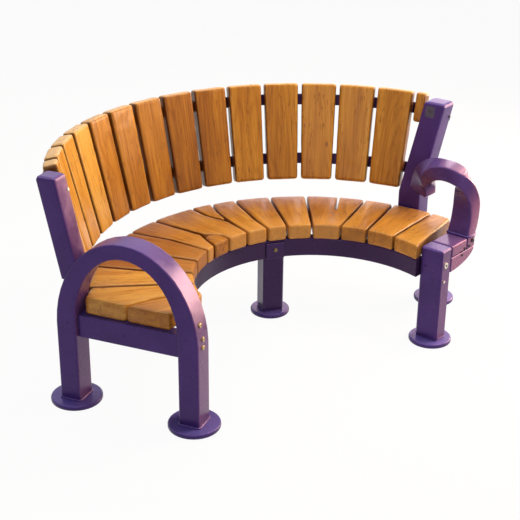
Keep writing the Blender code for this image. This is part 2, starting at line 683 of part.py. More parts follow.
def build_left_end():
    section = rounded_section(LEG_DEPTH, LEG_WIDTH, LEG_ROUND_RADIUS)
    mesh = swept_mesh("left_arch_frame", arch_stations(), section)
    arch = add_part("left_arch_frame", mesh, purple_paint, LEFT_FRAME)
    arch.data.shade_smooth()
    arch.data.set_sharp_from_angle(angle=math.radians(SMOOTH_ANGLE))

    grown = rounded_section(LEG_DEPTH + 2 * FIT_GAP, LEG_WIDTH + 2 * FIT_GAP, LEG_ROUND_RADIUS + FIT_GAP)
    cope = add_cutter("arch_cope", swept_mesh("arch_cope", arch_stations(), grown), LEFT_FRAME)
    low = (-END_RAIL_DEPTH / 2, 0.0, RAIL_TOP - END_RAIL_HEIGHT)
    high = (END_RAIL_DEPTH / 2, LEFT_LEG_SPACING, RAIL_TOP)
    rail = add_part("left_end_rail", box_mesh("left_end_rail", low, high), purple_paint, LEFT_FRAME)
    round_edges(rail, RAIL_ROUND_RADIUS, 1)
    cut(rail, cope)
    post = add_part("left_back_post", left_post_mesh("left_back_post", 0.0), purple_paint)
    cut(post, cope)
    build_foot("foot_plate_left_front", FOOT_RADIUS, LEFT_FRAME)
    build_foot("foot_plate_left_rear", FOOT_RADIUS,
               LEFT_FRAME @ Matrix.Translation((0.0, LEFT_LEG_SPACING, 0.0)))


# The right end frame

def right_end_rail_place():
    """A place whose own +Y runs along the rail from the gusset to the rear leg."""
    start = RIGHT_FRAME @ Vector((-RIGHT_LEG_DEPTH / 2, RIGHT_END_RAIL_OFFSET, 0.0))
    end = RIGHT_REAR_LEG @ Vector((LEG_WIDTH / 2, 0.0, 0.0))
    return facing(start, turn_of(end - start))


def build_right_end():
    leg_box("right_front_leg", RIGHT_LEG_WIDTH, RIGHT_LEG_DEPTH, RIGHT_LEG_TOP_HEIGHT, RIGHT_FRAME)
    leg_box("right_rear_leg", LEG_WIDTH, LEG_WIDTH, RAIL_TOP, RIGHT_REAR_LEG)
    build_foot("foot_plate_right_front", RIGHT_FOOT_RADIUS, RIGHT_FRAME)
    build_foot("foot_plate_right_rear", RIGHT_FOOT_RADIUS, RIGHT_REAR_LEG)

    low = (-RIGHT_LEG_DEPTH / 2, RIGHT_LEG_WIDTH / 2 + FIT_GAP, SIDE_RAIL_BASE)
    high = (RIGHT_LEG_DEPTH / 2, SOCKET_START - FIT_GAP, RIGHT_LEG_TOP_HEIGHT)
    rail = add_part("right_side_rail", box_mesh("right_side_rail", low, high), purple_paint, RIGHT_FRAME)
    round_edges(rail, SIDE_RAIL_ROUND_RADIUS)

    low = (-RIGHT_LEG_DEPTH / 2, SOCKET_START, SIDE_RAIL_BASE)
    high = (RIGHT_LEG_DEPTH / 2, SOCKET_START + SOCKET_LENGTH, RIGHT_LEG_TOP_HEIGHT)
    socket = add_part("right_arm_socket", box_mesh("right_arm_socket", low, high), purple_paint,
                      RIGHT_FRAME)
    round_edges(socket, RAIL_ROUND_RADIUS)

    corner = (RIGHT_LEG_WIDTH / 2 + FIT_GAP, SIDE_RAIL_BASE - FIT_GAP)
    reach = SOCKET_START + SOCKET_LENGTH - corner[0]
    points = [corner]
    for turn in arc_turns(90.0, 0.0, GUSSET_STEP_TURN):
        angle = math.radians(turn)
        points.append((corner[0] + reach * math.cos(angle), corner[1] - GUSSET_HEIGHT * math.sin(angle)))
    mesh = outline_mesh("right_corner_gusset", points, -RIGHT_LEG_DEPTH / 2, RIGHT_LEG_DEPTH / 2,
                        upright=True)
    gusset = add_part("right_corner_gusset", mesh, purple_paint, RIGHT_FRAME)
    round_edges(gusset, RAIL_ROUND_RADIUS)

    place = right_end_rail_place()
    low = (-SEAT_RAIL_THICKNESS / 2, -RIGHT_LEG_DEPTH, RAIL_TOP - SEAT_RAIL_HEIGHT)
    high = (SEAT_RAIL_THICKNESS / 2, CUTTER_LENGTH / 2, RAIL_TOP)
    end_rail = add_part("right_end_rail", box_mesh("right_end_rail", low, high), purple_paint, place)
    cut(end_rail, half_space_cutter("gusset_plane", RIGHT_FRAME, -RIGHT_LEG_DEPTH / 2 - FIT_GAP))
    behind_leg = RIGHT_REAR_LEG @ Matrix.Rotation(math.pi, 4, "Z")
    cut(end_rail, half_space_cutter("rear_leg_plane", behind_leg, -LEG_WIDTH / 2 - FIT_GAP))
    build_right_post()
    build_arm_loop()


def right_post_place(height):
    base_radius = (seat_back_radius(RIGHT_POST_BASE_TURN) + POST_PLANK_GAP
                   + RIGHT_POST_DEPTH / 2)
    risen = max(0.0, height - RIGHT_POST_BEND_HEIGHT)
    sideways = RIGHT_POST_FORWARD_OFFSET * risen / (RIGHT_POST_TOP_HEIGHT - RIGHT_POST_BEND_HEIGHT)
    base = facing(polar(base_radius, RIGHT_POST_BASE_TURN), RIGHT_POST_TURN)
    return base @ Matrix.Translation((sideways, risen * math.tan(POST_LEAN), 0.0))


def right_post_face(height, side):
    """A leaned place on the post: side is -1 for its front face and 1 for its outer face."""
    offset = (0.0, side * RIGHT_POST_DEPTH / 2, height)
    return leaning(right_post_place(height) @ Matrix.Translation(offset), POST_LEAN)


def right_post_stations():
    heights = (RIGHT_POST_START_HEIGHT, RIGHT_POST_BEND_HEIGHT, RIGHT_POST_TOP_HEIGHT - POST_CAP_HEIGHT)
    places = [(height, right_post_place(height)) for height in heights]
    slimmed = Matrix.Diagonal((RIGHT_POST_TOP_WIDTH / RIGHT_POST_WIDTH, 1.0, 1.0, 1.0))
    places[-1] = (heights[-1], places[-1][1] @ slimmed)
    return post_stations(places)


def build_right_post():
    section = rounded_section(RIGHT_POST_WIDTH, RIGHT_POST_DEPTH, POST_ROUND_RADIUS)
    post = add_part("right_back_post", swept_mesh("right_back_post", right_post_stations(), section),
                    purple_paint)
    height = RAIL_TOP - SEAT_RAIL_HEIGHT / 2
    turns = [turn for turn in rear_rail_turns() if abs(turn - RIGHT_POST_BASE_TURN) < RAIL_LAP_TURN]
    lap = arc_stations(REAR_RAIL_RADIUS - CUT_OVERRUN_LENGTH / 2, height, turns)
    section = rounded_section(SEAT_RAIL_THICKNESS + CUT_OVERRUN_LENGTH + 2 * FIT_GAP,
                              SEAT_RAIL_HEIGHT + 2 * FIT_GAP, RAIL_ROUND_RADIUS, 1)
    cut(post, add_cutter("rail_lap", swept_mesh("rail_lap", lap, section)))


def smooth_path(points, steps):
    """Points on a smooth curve through the given points, with the curve's direction at each."""
    ends = [2 * points[0] - points[1], *points, 2 * points[-1] - points[-2]]
    path = []
    for a, b, c, d in zip(ends, ends[1:], ends[2:], ends[3:]):
        for step in range(steps):
            t = step / steps
            point = (2 * b + (c - a) * t + (2 * a - 5 * b + 4 * c - d) * t ** 2
                     + (3 * b - a - 3 * c + d) * t ** 3) / 2
            direction = (c - a + 2 * (2 * a - 5 * b + 4 * c - d) * t
                         + 3 * (3 * b - a - 3 * c + d) * t ** 2)
            path.append((point, direction.normalized()))
    path.append((points[-1], (points[-1] - points[-2]).normalized()))
    return path


def build_arm_loop():
    """The armrest rises from its socket, turns over and comes down round a corner of the back post."""
    foot = RIGHT_FRAME @ Vector((0.0, SOCKET_START + SOCKET_LENGTH / 2, RIGHT_LEG_TOP_HEIGHT + FIT_GAP))
    landing = right_post_face(LOOP_LANDING_HEIGHT, -1)
    along = landing.translation - foot
    along.z = 0.0
    sideways = Vector((-along.y, along.x, 0.0))
    points = []
    for share_along, share_side, share_rise in LOOP_path_shares:
        rise = Vector((0.0, 0.0, LOOP_HEIGHT * share_rise))
        points.append(foot + along * share_along + sideways * share_side + rise)
    path = smooth_path(points, LOOP_STEPS)
    path[0] = (path[0][0], Vector((0, 0, 1)))
    stations = []
    for index, (point, direction) in enumerate(path):
        place, part_way = divmod(index, LOOP_STEPS)
        turn = LOOP_DEPTH_TURNS[place]
        if part_way:
            turn += (LOOP_DEPTH_TURNS[place + 1] - turn) * part_way / LOOP_STEPS
        depth_axis = polar(1.0, turn)
        depth_axis = (depth_axis - depth_axis.dot(direction) * direction).normalized()
        stations.append(station(point, depth_axis, direction.cross(depth_axis)))
    drawn_in = Matrix.Diagonal((LOOP_CAP_share, LOOP_CAP_share, 1, 1))
    stations.append(stations[-1] @ Matrix.Translation((0.0, 0.0, LOOP_CAP_HEIGHT)) @ drawn_in)
    section = rounded_section(RIGHT_LEG_DEPTH, LOOP_THICKNESS, LOOP_ROUND_RADIUS)
    loop = add_part("right_arm_loop", swept_mesh("right_arm_loop", stations, section), purple_paint)
    loop.data.shade_smooth()
    loop.data.set_sharp_from_angle(angle=math.radians(SMOOTH_ANGLE))
    room = rounded_section(RIGHT_POST_WIDTH + 2 * FIT_GAP, RIGHT_POST_DEPTH + 2 * FIT_GAP, POST_ROUND_RADIUS)
    cut(loop, add_cutter("post_room", swept_mesh("post_room", right_post_stations(), room)))


# The back

def slat_edge(place):
    return SLAT_FIRST_TURN + SLAT_STEP_TURN * place + SLAT_STEP_GROWTH_TURN * place ** 2


def back_radius(height):
    """The inner radius of the back rails at a height, about the back's own centre."""
    return BACK_RADIUS + (height - SLAT_FOOT_HEIGHT) * math.tan(LEAN)


def back_turn(turn):
    """The turn about the back's own centre of the place that lies at a turn about the seat's centre."""
    across = BACK_CENTRE_OFFSET * math.sin(math.radians(turn))
    onward = BACK_CENTRE_OFFSET * math.cos(math.radians(turn))
    reach = onward + math.sqrt(BACK_RADIUS ** 2 - across ** 2)
    return turn_of(polar(reach, turn) - BACK_CENTRE)


def slat_places():
    """For each slat: a leaned place at the foot of its back face, and its half widths."""
    slats = []
    for number in range(SLAT_COUNT):
        first = back_turn(max(slat_edge(number - 0.5), SLAT_LEFT_TURN))
        last = back_turn(min(slat_edge(number + 0.5), SLAT_RIGHT_TURN))
        turn = (first + last) / 2
        spread = math.tan(math.radians((last - first) / 2))
        foot = BACK_RADIUS * spread - SLAT_GAP / 2
        top = back_radius(SLAT_TOP_HEIGHT) * spread - SLAT_GAP / 2
        touch = (foot + top) / 2 - SLAT_ROUND_RADIUS
        radius = math.sqrt(BACK_RADIUS ** 2 - touch ** 2) - FIT_GAP
        place = facing(BACK_CENTRE + polar(radius, turn, SLAT_FOOT_HEIGHT), turn)
        slats.append((leaning(place, LEAN), foot, top))
    return slats


def build_slats():
    for number, (place, foot, top) in enumerate(slat_places(), start=1):
        name = f"back_slat_{number:02d}"
        start = SLAT_LENGTH - SHORT_SLAT_LENGTH if number == SLAT_COUNT else 0.0
        mesh = box_mesh(name, (-foot, -SLAT_THICKNESS, start), (foot, 0.0, SLAT_LENGTH))
        for vertex in mesh.vertices:
            vertex.co.x *= 1 + (top / foot - 1) * vertex.co.z / SLAT_LENGTH
        slat = add_part(name, mesh, back_wood, place)
        round_edges(slat, SLAT_ROUND_RADIUS)


def build_back_rails():
    """Two rails run behind the slats; a block joins each to the right post."""
    turns = arc_turns(back_turn(BACK_RAIL_LEFT_TURN), back_turn(BACK_RAIL_RIGHT_TURN), BACK_RAIL_STEP_TURN)
    chord = math.cos(math.radians(turns[1] - turns[0]) / 2)
    section = rounded_section(BACK_RAIL_THICKNESS, BACK_RAIL_HEIGHT, RAIL_ROUND_RADIUS, 1)
    room = rounded_section(3 * BACK_RAIL_THICKNESS + 2 * FIT_GAP, 2 * BACK_RAIL_HEIGHT, RAIL_ROUND_RADIUS, 1)
    post_cutter = add_cutter("grown_left_post", left_post_mesh("grown_left_post", FIT_GAP))
    for side, height in BACK_RAIL_HEIGHTS.items():
        name = side + "_back_rail"
        radius = back_radius(height) / chord + BACK_RAIL_THICKNESS / 2 / math.cos(LEAN)
        stations = arc_stations(radius, height, turns, LEAN, BACK_CENTRE)
        rail = add_part(name, swept_mesh(name, stations, section), dark_paint)
        cut(rail, post_cutter)
        face = right_post_face(height, 1)
        from_centre = face.translation - BACK_CENTRE
        side_offset = from_centre.dot(polar(1.0, RIGHT_POST_TURN + 90.0))
        reach = math.sqrt(back_radius(height) ** 2 - side_offset ** 2)
        depth = (reach - from_centre.dot(polar(1.0, RIGHT_POST_TURN))) * math.cos(POST_LEAN)
        name = side + "_rail_block"
        low = (-BLOCK_WIDTH / 2, FIT_GAP, -BACK_RAIL_HEIGHT / 2)
        high = (BLOCK_WIDTH / 2, depth + BACK_RAIL_THICKNESS, BACK_RAIL_HEIGHT / 2)
        block = add_part(name, box_mesh(name, low, high), dark_paint, face)
        further = arc_stations(radius + BACK_RAIL_THICKNESS / math.cos(LEAN), height, turns, LEAN, BACK_CENTRE)
        cut(block, add_cutter(side + "_rail_room", swept_mesh(side + "_rail_room", further, room)))


def centre_on_box():
    """Moves the bench so that its box is centred over the origin."""
    bpy.context.view_layer.update()
    graph = bpy.context.evaluated_depsgraph_get()
    corners = []
    for part in PARTS.objects:
        if part.type == "MESH":
            evaluated = part.evaluated_get(graph)
            mesh = evaluated.to_mesh()
            corners += [evaluated.matrix_world @ vertex.co for vertex in mesh.vertices]
            evaluated.to_mesh_clear()
    xs = [corner.x for corner in corners]
    ys = [corner.y for corner in corners]
    BENCH.location = (-(min(xs) + max(xs)) / 2, -(min(ys) + max(ys)) / 2, 0.0)


def main():
    global PARTS, CUTTERS, BENCH
    clear_scene()
    PARTS = new_collection("curved_garden_bench")
    CUTTERS = new_collection("cutters")
    BENCH = bpy.data.objects.new("bench_centre", None)
    PARTS.objects.link(BENCH)
    build_seat()
    build_seat_rails()
    build_bearers()
    build_joint_plate()
    top = RAIL_TOP - SEAT_RAIL_HEIGHT - FIT_GAP
    leg_box("centre_leg", CENTRE_LEG_WIDTH, CENTRE_LEG_WIDTH, top, CENTRE_LEG)
    build_foot("foot_plate_centre", CENTRE_FOOT_RADIUS, CENTRE_LEG)
    build_left_end()
    build_right_end()
    build_slats()
    build_back_rails()
    centre_on_box()


main()
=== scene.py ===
import math
import random

import bpy
from mathutils import Matrix, Vector
from mathutils.bvhtree import BVHTree


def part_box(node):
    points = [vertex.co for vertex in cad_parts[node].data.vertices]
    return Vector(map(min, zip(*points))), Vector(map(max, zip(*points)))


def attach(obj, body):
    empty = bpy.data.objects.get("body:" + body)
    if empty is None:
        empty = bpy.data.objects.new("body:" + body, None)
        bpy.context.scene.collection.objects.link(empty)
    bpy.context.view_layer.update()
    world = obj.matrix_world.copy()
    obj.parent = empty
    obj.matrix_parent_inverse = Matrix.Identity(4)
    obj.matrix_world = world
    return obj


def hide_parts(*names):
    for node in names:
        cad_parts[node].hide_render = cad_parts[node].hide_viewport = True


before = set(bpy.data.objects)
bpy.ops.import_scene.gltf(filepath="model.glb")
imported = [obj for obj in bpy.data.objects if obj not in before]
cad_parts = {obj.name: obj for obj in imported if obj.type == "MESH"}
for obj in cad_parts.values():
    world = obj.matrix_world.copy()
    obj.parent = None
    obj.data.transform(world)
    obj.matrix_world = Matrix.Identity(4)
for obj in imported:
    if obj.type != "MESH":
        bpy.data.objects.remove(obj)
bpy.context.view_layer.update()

# The seat is a segment of a ring. A turn is an angle in plan, in degrees from +Y towards +X, about
# the ring's centre. A leg's own +Y points along its end frame, and its own +X to the right of that.
UP = Vector((0, 0, 1))
RING_CENTRE = Vector((0.01079, -0.42573, 0.0))
LEFT_LEG_PLACE = ((-0.57752, -0.49172), -33.8)
RIGHT_LEG_PLACE = ((0.56613, -0.45289), 74.0)
SLAT_LEAN = 13.0
FLOOR_PLATE_TOP = 0.02
LOOP_FOOT_HEIGHT = 0.4175
SEAT_RAIL_RADII = (0.505, 0.803)
BACK_RAIL_HEIGHTS = {"upper": 0.809, "lower": 0.558}
PLANKS = [f"seat_plank_{number:02d}" for number in range(1, 17)]
SLATS = [f"back_slat_{number:02d}" for number in range(1, 16)]

# Timber
TIMBER_VOXEL = 0.004
EDGE_EASING_PASSES = 10
UNEVENNESS = 0.0016
UNEVENNESS_SPREAD = 0.075

# How much lighter or darker each board is, from left to right, and how much its ends are. The slats'
# tones are partly painted light and shade: lighter on the left, which faces the light, and darker in
# the middle.
PLANK_TONES = [
    0.05, 0.26, 0.26, -0.34, -0.36, -0.06, 0.0, 0.02,
    0.0, 0.04, -0.04, -0.02, -0.1, -0.08, 0.06, 0.26,
]
SLAT_TONES_AND_LIGHT = [
    0.28, 0.3, 0.2, 0.38, -0.12, -0.04, -0.16, -0.3,
    -0.28, -0.02, -0.04, 0.0, 0.06, 0.02, 0.06,
]
PLANK_ENDS_TONE = -0.3
# Painted light: the slats' ends, their tops among them, are lighter and paler
SLAT_LIT_ENDS_TONE = 0.3
SLAT_LIT_ENDS = 0.6

# The planks without painted seam shade, those with a strong painted mauve sheen, and the one with a
# split end
PLANKS_WITHOUT_SEAM_SHADE = (1, 2)
SHEEN_PLANKS = range(6, 14)
STRONG_SHEEN = 0.7
FAINT_SHEEN = 0.25
SPLIT_PLANK = 13
SPLIT_PLANK_VOXEL = 0.0022

# The most that a plank's grain turns from its length, in degrees
PLANK_GRAIN_STRAY = 2.0

# The timber's colours: its grain from dark to light, and what lies over the grain, among it painted
# shade in the seams, painted light on the ends and a painted sheen
DARKEST_GRAIN = (0.27, 0.082, 0.007)
MIDDLE_GRAIN = ((0.35, (0.44, 0.164, 0.014)), (0.65, (0.60, 0.256, 0.025)))
PALEST_GRAIN = (0.80, 0.430, 0.075)
FLECK_COLOUR = (0.19, 0.055, 0.006)
KNOT_COLOUR = (0.15, 0.042, 0.006)
CHECK_COLOUR = (0.11, 0.032, 0.006)
SEAM_SHADE_COLOUR = (0.105, 0.027, 0.003)
PAINTED_LIGHT_END_COLOUR = (0.88, 0.60, 0.32)
CRACK_COLOUR = (0.08, 0.022, 0.006)
PAINTED_MAUVE_SHEEN = (0.27, 0.115, 0.085)
PAINTED_FRONT_HIGHLIGHT = (0.86, 0.42, 0.10)
VARNISH_TINT = (1.0, 0.82, 0.5, 1.0)
VARNISH_DEPTH = 0.0009

# Steel
WELD_DISTANCE = 0.00005
STEEL_EASING = 0.0022
SLAT_RAIL_EASING = 0.0015
BAR_EASING = 0.0065
POST_EASING = 0.0095
EASING_SEGMENTS = 3

# Edges that turn by more than the easing angle are rounded. Faces within the flat angle are joined.
STEEL_EASING_ANGLE = 30.0
FLAT_ANGLE = 0.5

# Beads of weld
BEAD_RADIUS = 0.0048
LOOP_BEAD_RADIUS = 0.0055
BEAD_HEIGHT_ON_PLATE = 0.001

# The worn place on the right post's front, round its screw: its middle, turn and half sizes
WORN_PLACE = (Vector((0.8007, -0.1046, 0.8405)), (0.0, 0.0, 0.323), (0.03, 0.021, 0.023))

# The side whose light is painted into the enamel, and the colours of the painted light, the painted
# highlight, the painted top light and the paint's scuffs and wear
LIT_SIDE = (0.64, -0.56, 0.53)
PAINTED_LIGHT_PINK = (0.30, 0.105, 0.175)
PAINTED_HIGHLIGHT_PINK = (0.80, 0.52, 0.60)
PAINTED_TOP_LIGHT_BLUE = (0.16, 0.125, 0.44)
SCUFFED_GREY = (0.13, 0.09, 0.17)
WORN_GREY = (0.105, 0.115, 0.115)
ENAMEL_TINT = (0.68, 0.38, 0.95, 1.0)
ENAMEL_DEPTH = 0.0012

# Screw heads: the slope of the rim, the crown's rise and the recess, as shares of radius or height
HEAD_SLOPE_SHARE = 0.3
HEAD_CROWN_SHARE = 0.25
HEAD_RECESS_SHARE = 0.7

# Where the search for a fastener's seat starts, and how the screws behind the slats are set
BOLT_SEARCH_REACH = 0.3
SCREW_SEARCH_REACH = 0.05
BEHIND_BACK_RADIUS = 1.3
UNDER_SEAT_HEIGHT = 0.1
SLAT_SCREW_TURNS = (-1.6, 1.6)
SLAT_SCREW_SINK = 0.0025
LEVEL_TOLERANCE = 0.001

# Camera
CAMERA_PLACE = Vector((-2.30521, -3.43373, 2.155))
CAMERA_LOOK = Vector((0.562, 0.827, 0.0))
CAMERA_DOWNWARD = 0.4158
CAMERA_ROLL = 0.0116
IMAGE_PIXELS = 520
FOCAL_PIXELS = 1122.5
SHIFT_PIXELS = (0.3, -1.5)
SENSOR_WIDTH = 36.0

# Light and floor
LAMP_AIM = Vector((0.0, 0.0, 0.45))
LAMPS = [
    ("warm_side_lamp", (3.3, -0.5, 1.3), (2.4, 1.8), 150.0, (1.0, 0.70, 0.50)),
    ("warm_high_lamp", (1.5, -0.9, 3.0), (1.4, 1.4), 60.0, (1.0, 0.86, 0.68)),
    ("front_lamp", (-2.8, -3.2, 2.2), (2.4, 2.4), 26.0, (0.86, 0.84, 1.0)),
    ("top_lamp", (-0.4, 0.8, 3.2), (2.2, 2.2), 36.0, (1.0, 0.93, 0.88)),
    ("rear_lamp", (2.6, 2.6, 1.9), (2.0, 1.4), 20.0, (1.0, 0.74, 0.80)),
]
SOFT_SKY = (0.90, 0.86, 1.0, 1.0)
SOFT_SKY_STRENGTH = 0.17
WHITE = (1.0, 1.0, 1.0, 1.0)
FLOOR_SIZE = 24.0
FLOOR_GREYS = ((0.90, 0.90, 0.91), (0.93, 0.93, 0.93))
FLOOR_GLOW_SHARE = 0.95


# Places

def polar(radius, turn, height=0.0):
    angle = math.radians(turn)
    return RING_CENTRE + Vector((radius * math.sin(angle), radius * math.cos(angle), height))


def facing(point, turn):
    """A place whose own +Y points along the turn and whose own +X points to its right."""
    return Matrix.Translation((*point[:2], 0.0)) @ Matrix.Rotation(-math.radians(turn), 4, "Z")


def middle_of(node):
    low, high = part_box(node)
    return (low + high) / 2


def turn_of(node):
    """The turn of a node's middle about the ring's centre."""
    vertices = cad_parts[node].data.vertices
    middle = sum((vertex.co for vertex in vertices), Vector()) / len(vertices) - RING_CENTRE
    return math.degrees(math.atan2(middle.x, middle.y))


def seat_on(node, start, direction):
    """The place where a line from start meets a node: its own +Z points out of the surface."""
    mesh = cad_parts[node].data
    solid = BVHTree.FromPolygons([vertex.co for vertex in mesh.vertices],
                                 [face.vertices for face in mesh.polygons])
    point, normal, _, _ = solid.ray_cast(start, direction)
    if point is None:
        return None
    return Matrix.Translation(point) @ normal.to_track_quat("Z", "Y").to_matrix().to_4x4()


# Modelling steps

def select_only(piece):
    bpy.ops.object.select_all(action="DESELECT")
    piece.select_set(True)
    bpy.context.view_layer.objects.active = piece


def apply_modifiers(piece):
    select_only(piece)
    for modifier in list(piece.modifiers):
        bpy.ops.object.modifier_apply(modifier=modifier.name)


def merged_copy(node, name):
    """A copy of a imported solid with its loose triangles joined."""
    piece = bpy.data.objects.new(name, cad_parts[node].data.copy())
    bpy.context.scene.collection.objects.link(piece)
    piece.data.materials.clear()
    select_only(piece)
    bpy.ops.object.mode_set(mode="EDIT")
    bpy.ops.mesh.select_all(action="SELECT")
    bpy.ops.mesh.remove_doubles(threshold=WELD_DISTANCE)
    bpy.ops.mesh.customdata_custom_splitnormals_clear()
    bpy.ops.mesh.normals_make_consistent(inside=False)
    bpy.ops.object.mode_set(mode="OBJECT")
    return piece


def worn_timber(node, name, voxel=TIMBER_VOXEL):
    """A plank or slat with eased edges and a slightly uneven, hand-finished surface."""
    piece = merged_copy(node, name)
    even = piece.modifiers.new("even_faces", "REMESH")
    even.mode = "VOXEL"
    even.voxel_size = voxel
    eased = piece.modifiers.new("eased_edges", "SMOOTH")
    eased.factor = 0.5
    eased.iterations = EDGE_EASING_PASSES
    uneven = piece.modifiers.new("uneven_surface", "DISPLACE")
    uneven.texture = timber_unevenness
    uneven.texture_coords = "LOCAL"
    uneven.strength = UNEVENNESS
    uneven.mid_level = 1.0
    apply_modifiers(piece)
    piece.data.shade_smooth()
    return piece


def eased_steel(node, name, easing=STEEL_EASING):
    """A steel bar or casting with its edges rounded and smoothly shaded."""
    piece = merged_copy(node, name)
    bpy.ops.object.mode_set(mode="EDIT")
    bpy.ops.mesh.select_all(action="SELECT")
    bpy.ops.mesh.dissolve_limited(angle_limit=math.radians(FLAT_ANGLE))
    bpy.ops.object.mode_set(mode="OBJECT")
    rounded = piece.modifiers.new("rounded_edges", "BEVEL")
    rounded.width = easing
    rounded.segments = EASING_SEGMENTS
    rounded.limit_method = "ANGLE"
    rounded.angle_limit = math.radians(STEEL_EASING_ANGLE)
    weighted = piece.modifiers.new("even_shading", "WEIGHTED_NORMAL")
    weighted.keep_sharp = True
    select_only(piece)
    bpy.ops.object.shade_smooth()
    apply_modifiers(piece)
    return piece


def weld_bead(node, name, height, radius=BEAD_RADIUS):
    """The fillet of weld round a bar at a height."""
    piece = merged_copy(node, name)
    bpy.ops.object.mode_set(mode="EDIT")
    bpy.ops.mesh.select_all(action="SELECT")
    bpy.ops.mesh.bisect(plane_co=(0, 0, height), plane_no=(0, 0, 1),
                        clear_inner=True, clear_outer=True)
    bpy.ops.object.mode_set(mode="OBJECT")
    bpy.ops.object.convert(target="CURVE")
    piece = bpy.context.view_layer.objects.active
    piece.data.bevel_depth = radius
    piece.data.bevel_resolution = 2
    bpy.ops.object.convert(target="MESH")
    piece = bpy.context.view_layer.objects.active
    piece.name = name
    bpy.ops.object.shade_smooth()
    return piece


def screw_head(name, radius, height, sides, socket):
    """A screw head standing on the XY plane, with a recess of the given share of its radius."""
    bpy.ops.object.select_all(action="DESELECT")
    bpy.ops.mesh.primitive_cylinder_add(vertices=sides, radius=radius, depth=height,
                                        location=(0, 0, height / 2))
    head = bpy.context.active_object
    head.name = name
    bpy.ops.object.transform_apply(location=True, rotation=True, scale=True)
    bpy.ops.object.mode_set(mode="EDIT")
    bpy.ops.mesh.select_all(action="DESELECT")
    bpy.ops.object.mode_set(mode="OBJECT")
    for face in head.data.polygons:
        face.select = face.normal.z > 0.9
    bpy.ops.object.mode_set(mode="EDIT")
    bpy.ops.mesh.inset(thickness=radius * HEAD_SLOPE_SHARE)
    bpy.ops.transform.translate(value=(0, 0, height * HEAD_CROWN_SHARE))
    bpy.ops.mesh.inset(thickness=radius * (1 - HEAD_SLOPE_SHARE - socket))
    recess = (0, 0, -height * HEAD_RECESS_SHARE)
    bpy.ops.mesh.extrude_region_move(TRANSFORM_OT_translate={"value": recess})
    bpy.ops.object.mode_set(mode="OBJECT")
    bpy.ops.object.shade_smooth_by_angle(angle=math.radians(40))
    return head


def placed_copy(master, name, place):
    """A copy of a piece with its own mesh, set down at a place."""
    copy = bpy.data.objects.new(name, master.data.copy())
    copy.data.transform(place)
    bpy.context.scene.collection.objects.link(copy)
    return copy


def joined(pieces, name):
    bpy.ops.object.select_all(action="DESELECT")
    for piece in pieces:
        piece.select_set(True)
    bpy.context.view_layer.objects.active = pieces[0]
    bpy.ops.object.join()
    pieces[0].name = name
    return pieces[0]


def dress(piece, material, slot, *nodes):
    """Gives a finished piece its material and its part in the bench."""
    piece.data.materials.clear()
    piece.data.materials.append(material)
    if nodes:
        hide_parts(*nodes)
    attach(piece, "root")


# Material steps

def shader_step(tree, kind, inputs, **settings):
    """Adds a shader node; its inputs are numbers, colours or the outputs of other nodes."""
    step = tree.nodes.new(kind)
    for name, value in settings.items():
        setattr(step, name, value)
    for name, value in inputs.items():
        if isinstance(value, bpy.types.NodeSocket):
            tree.links.new(value, step.inputs[name])
        else:
            step.inputs[name].default_value = value
    return step


def maths(tree, operation, first, second=0.0):
    step = tree.nodes.new("ShaderNodeMath")
    step.operation = operation
    for socket, value in zip(step.inputs, (first, second)):
        if isinstance(value, bpy.types.NodeSocket):
            tree.links.new(value, socket)
        else:
            socket.default_value = value
    return step.outputs[0]


def mixed(tree, share, first, second):
    """A colour between two colours."""
    step = tree.nodes.new("ShaderNodeMix")
    step.data_type = "RGBA"
    for index, value in ((0, share), (6, first), (7, second)):
        if isinstance(value, bpy.types.NodeSocket):
            tree.links.new(value, step.inputs[index])
        else:
            step.inputs[index].default_value = value if index == 0 else (*value, 1.0)
    return step.outputs[2]


def between(tree, value, low, high, start=0.0, end=1.0):
    """A value spread from low..high to start..end and kept within them."""
    spread = {"Value": value, "From Min": low, "From Max": high, "To Min": start, "To Max": end}
    return shader_step(tree, "ShaderNodeMapRange", spread, clamp=True).outputs[0]


def noise(tree, place, stretch, detail=2.0, roughness=0.5):
    """Noise in a place, with its features shortened by a factor along each axis."""
    scaled = shader_step(tree, "ShaderNodeVectorMath", {0: place, 1: stretch}, operation="MULTIPLY")
    settings = {"Vector": scaled.outputs[0], "Scale": 1.0, "Detail": detail, "Roughness": roughness}
    return shader_step(tree, "ShaderNodeTexNoise", settings).outputs[0]


def new_material(name):
    material = bpy.data.materials.new(name)
    material.use_nodes = True
    return material, material.node_tree, material.node_tree.nodes["Principled BSDF"]


def bumped(tree, shader, height, distance, strength):
    settings = {"Height": height, "Distance": distance, "Strength": strength}
    bump = shader_step(tree, "ShaderNodeBump", settings)
    tree.links.new(bump.outputs[0], shader.inputs["Normal"])


# Timber

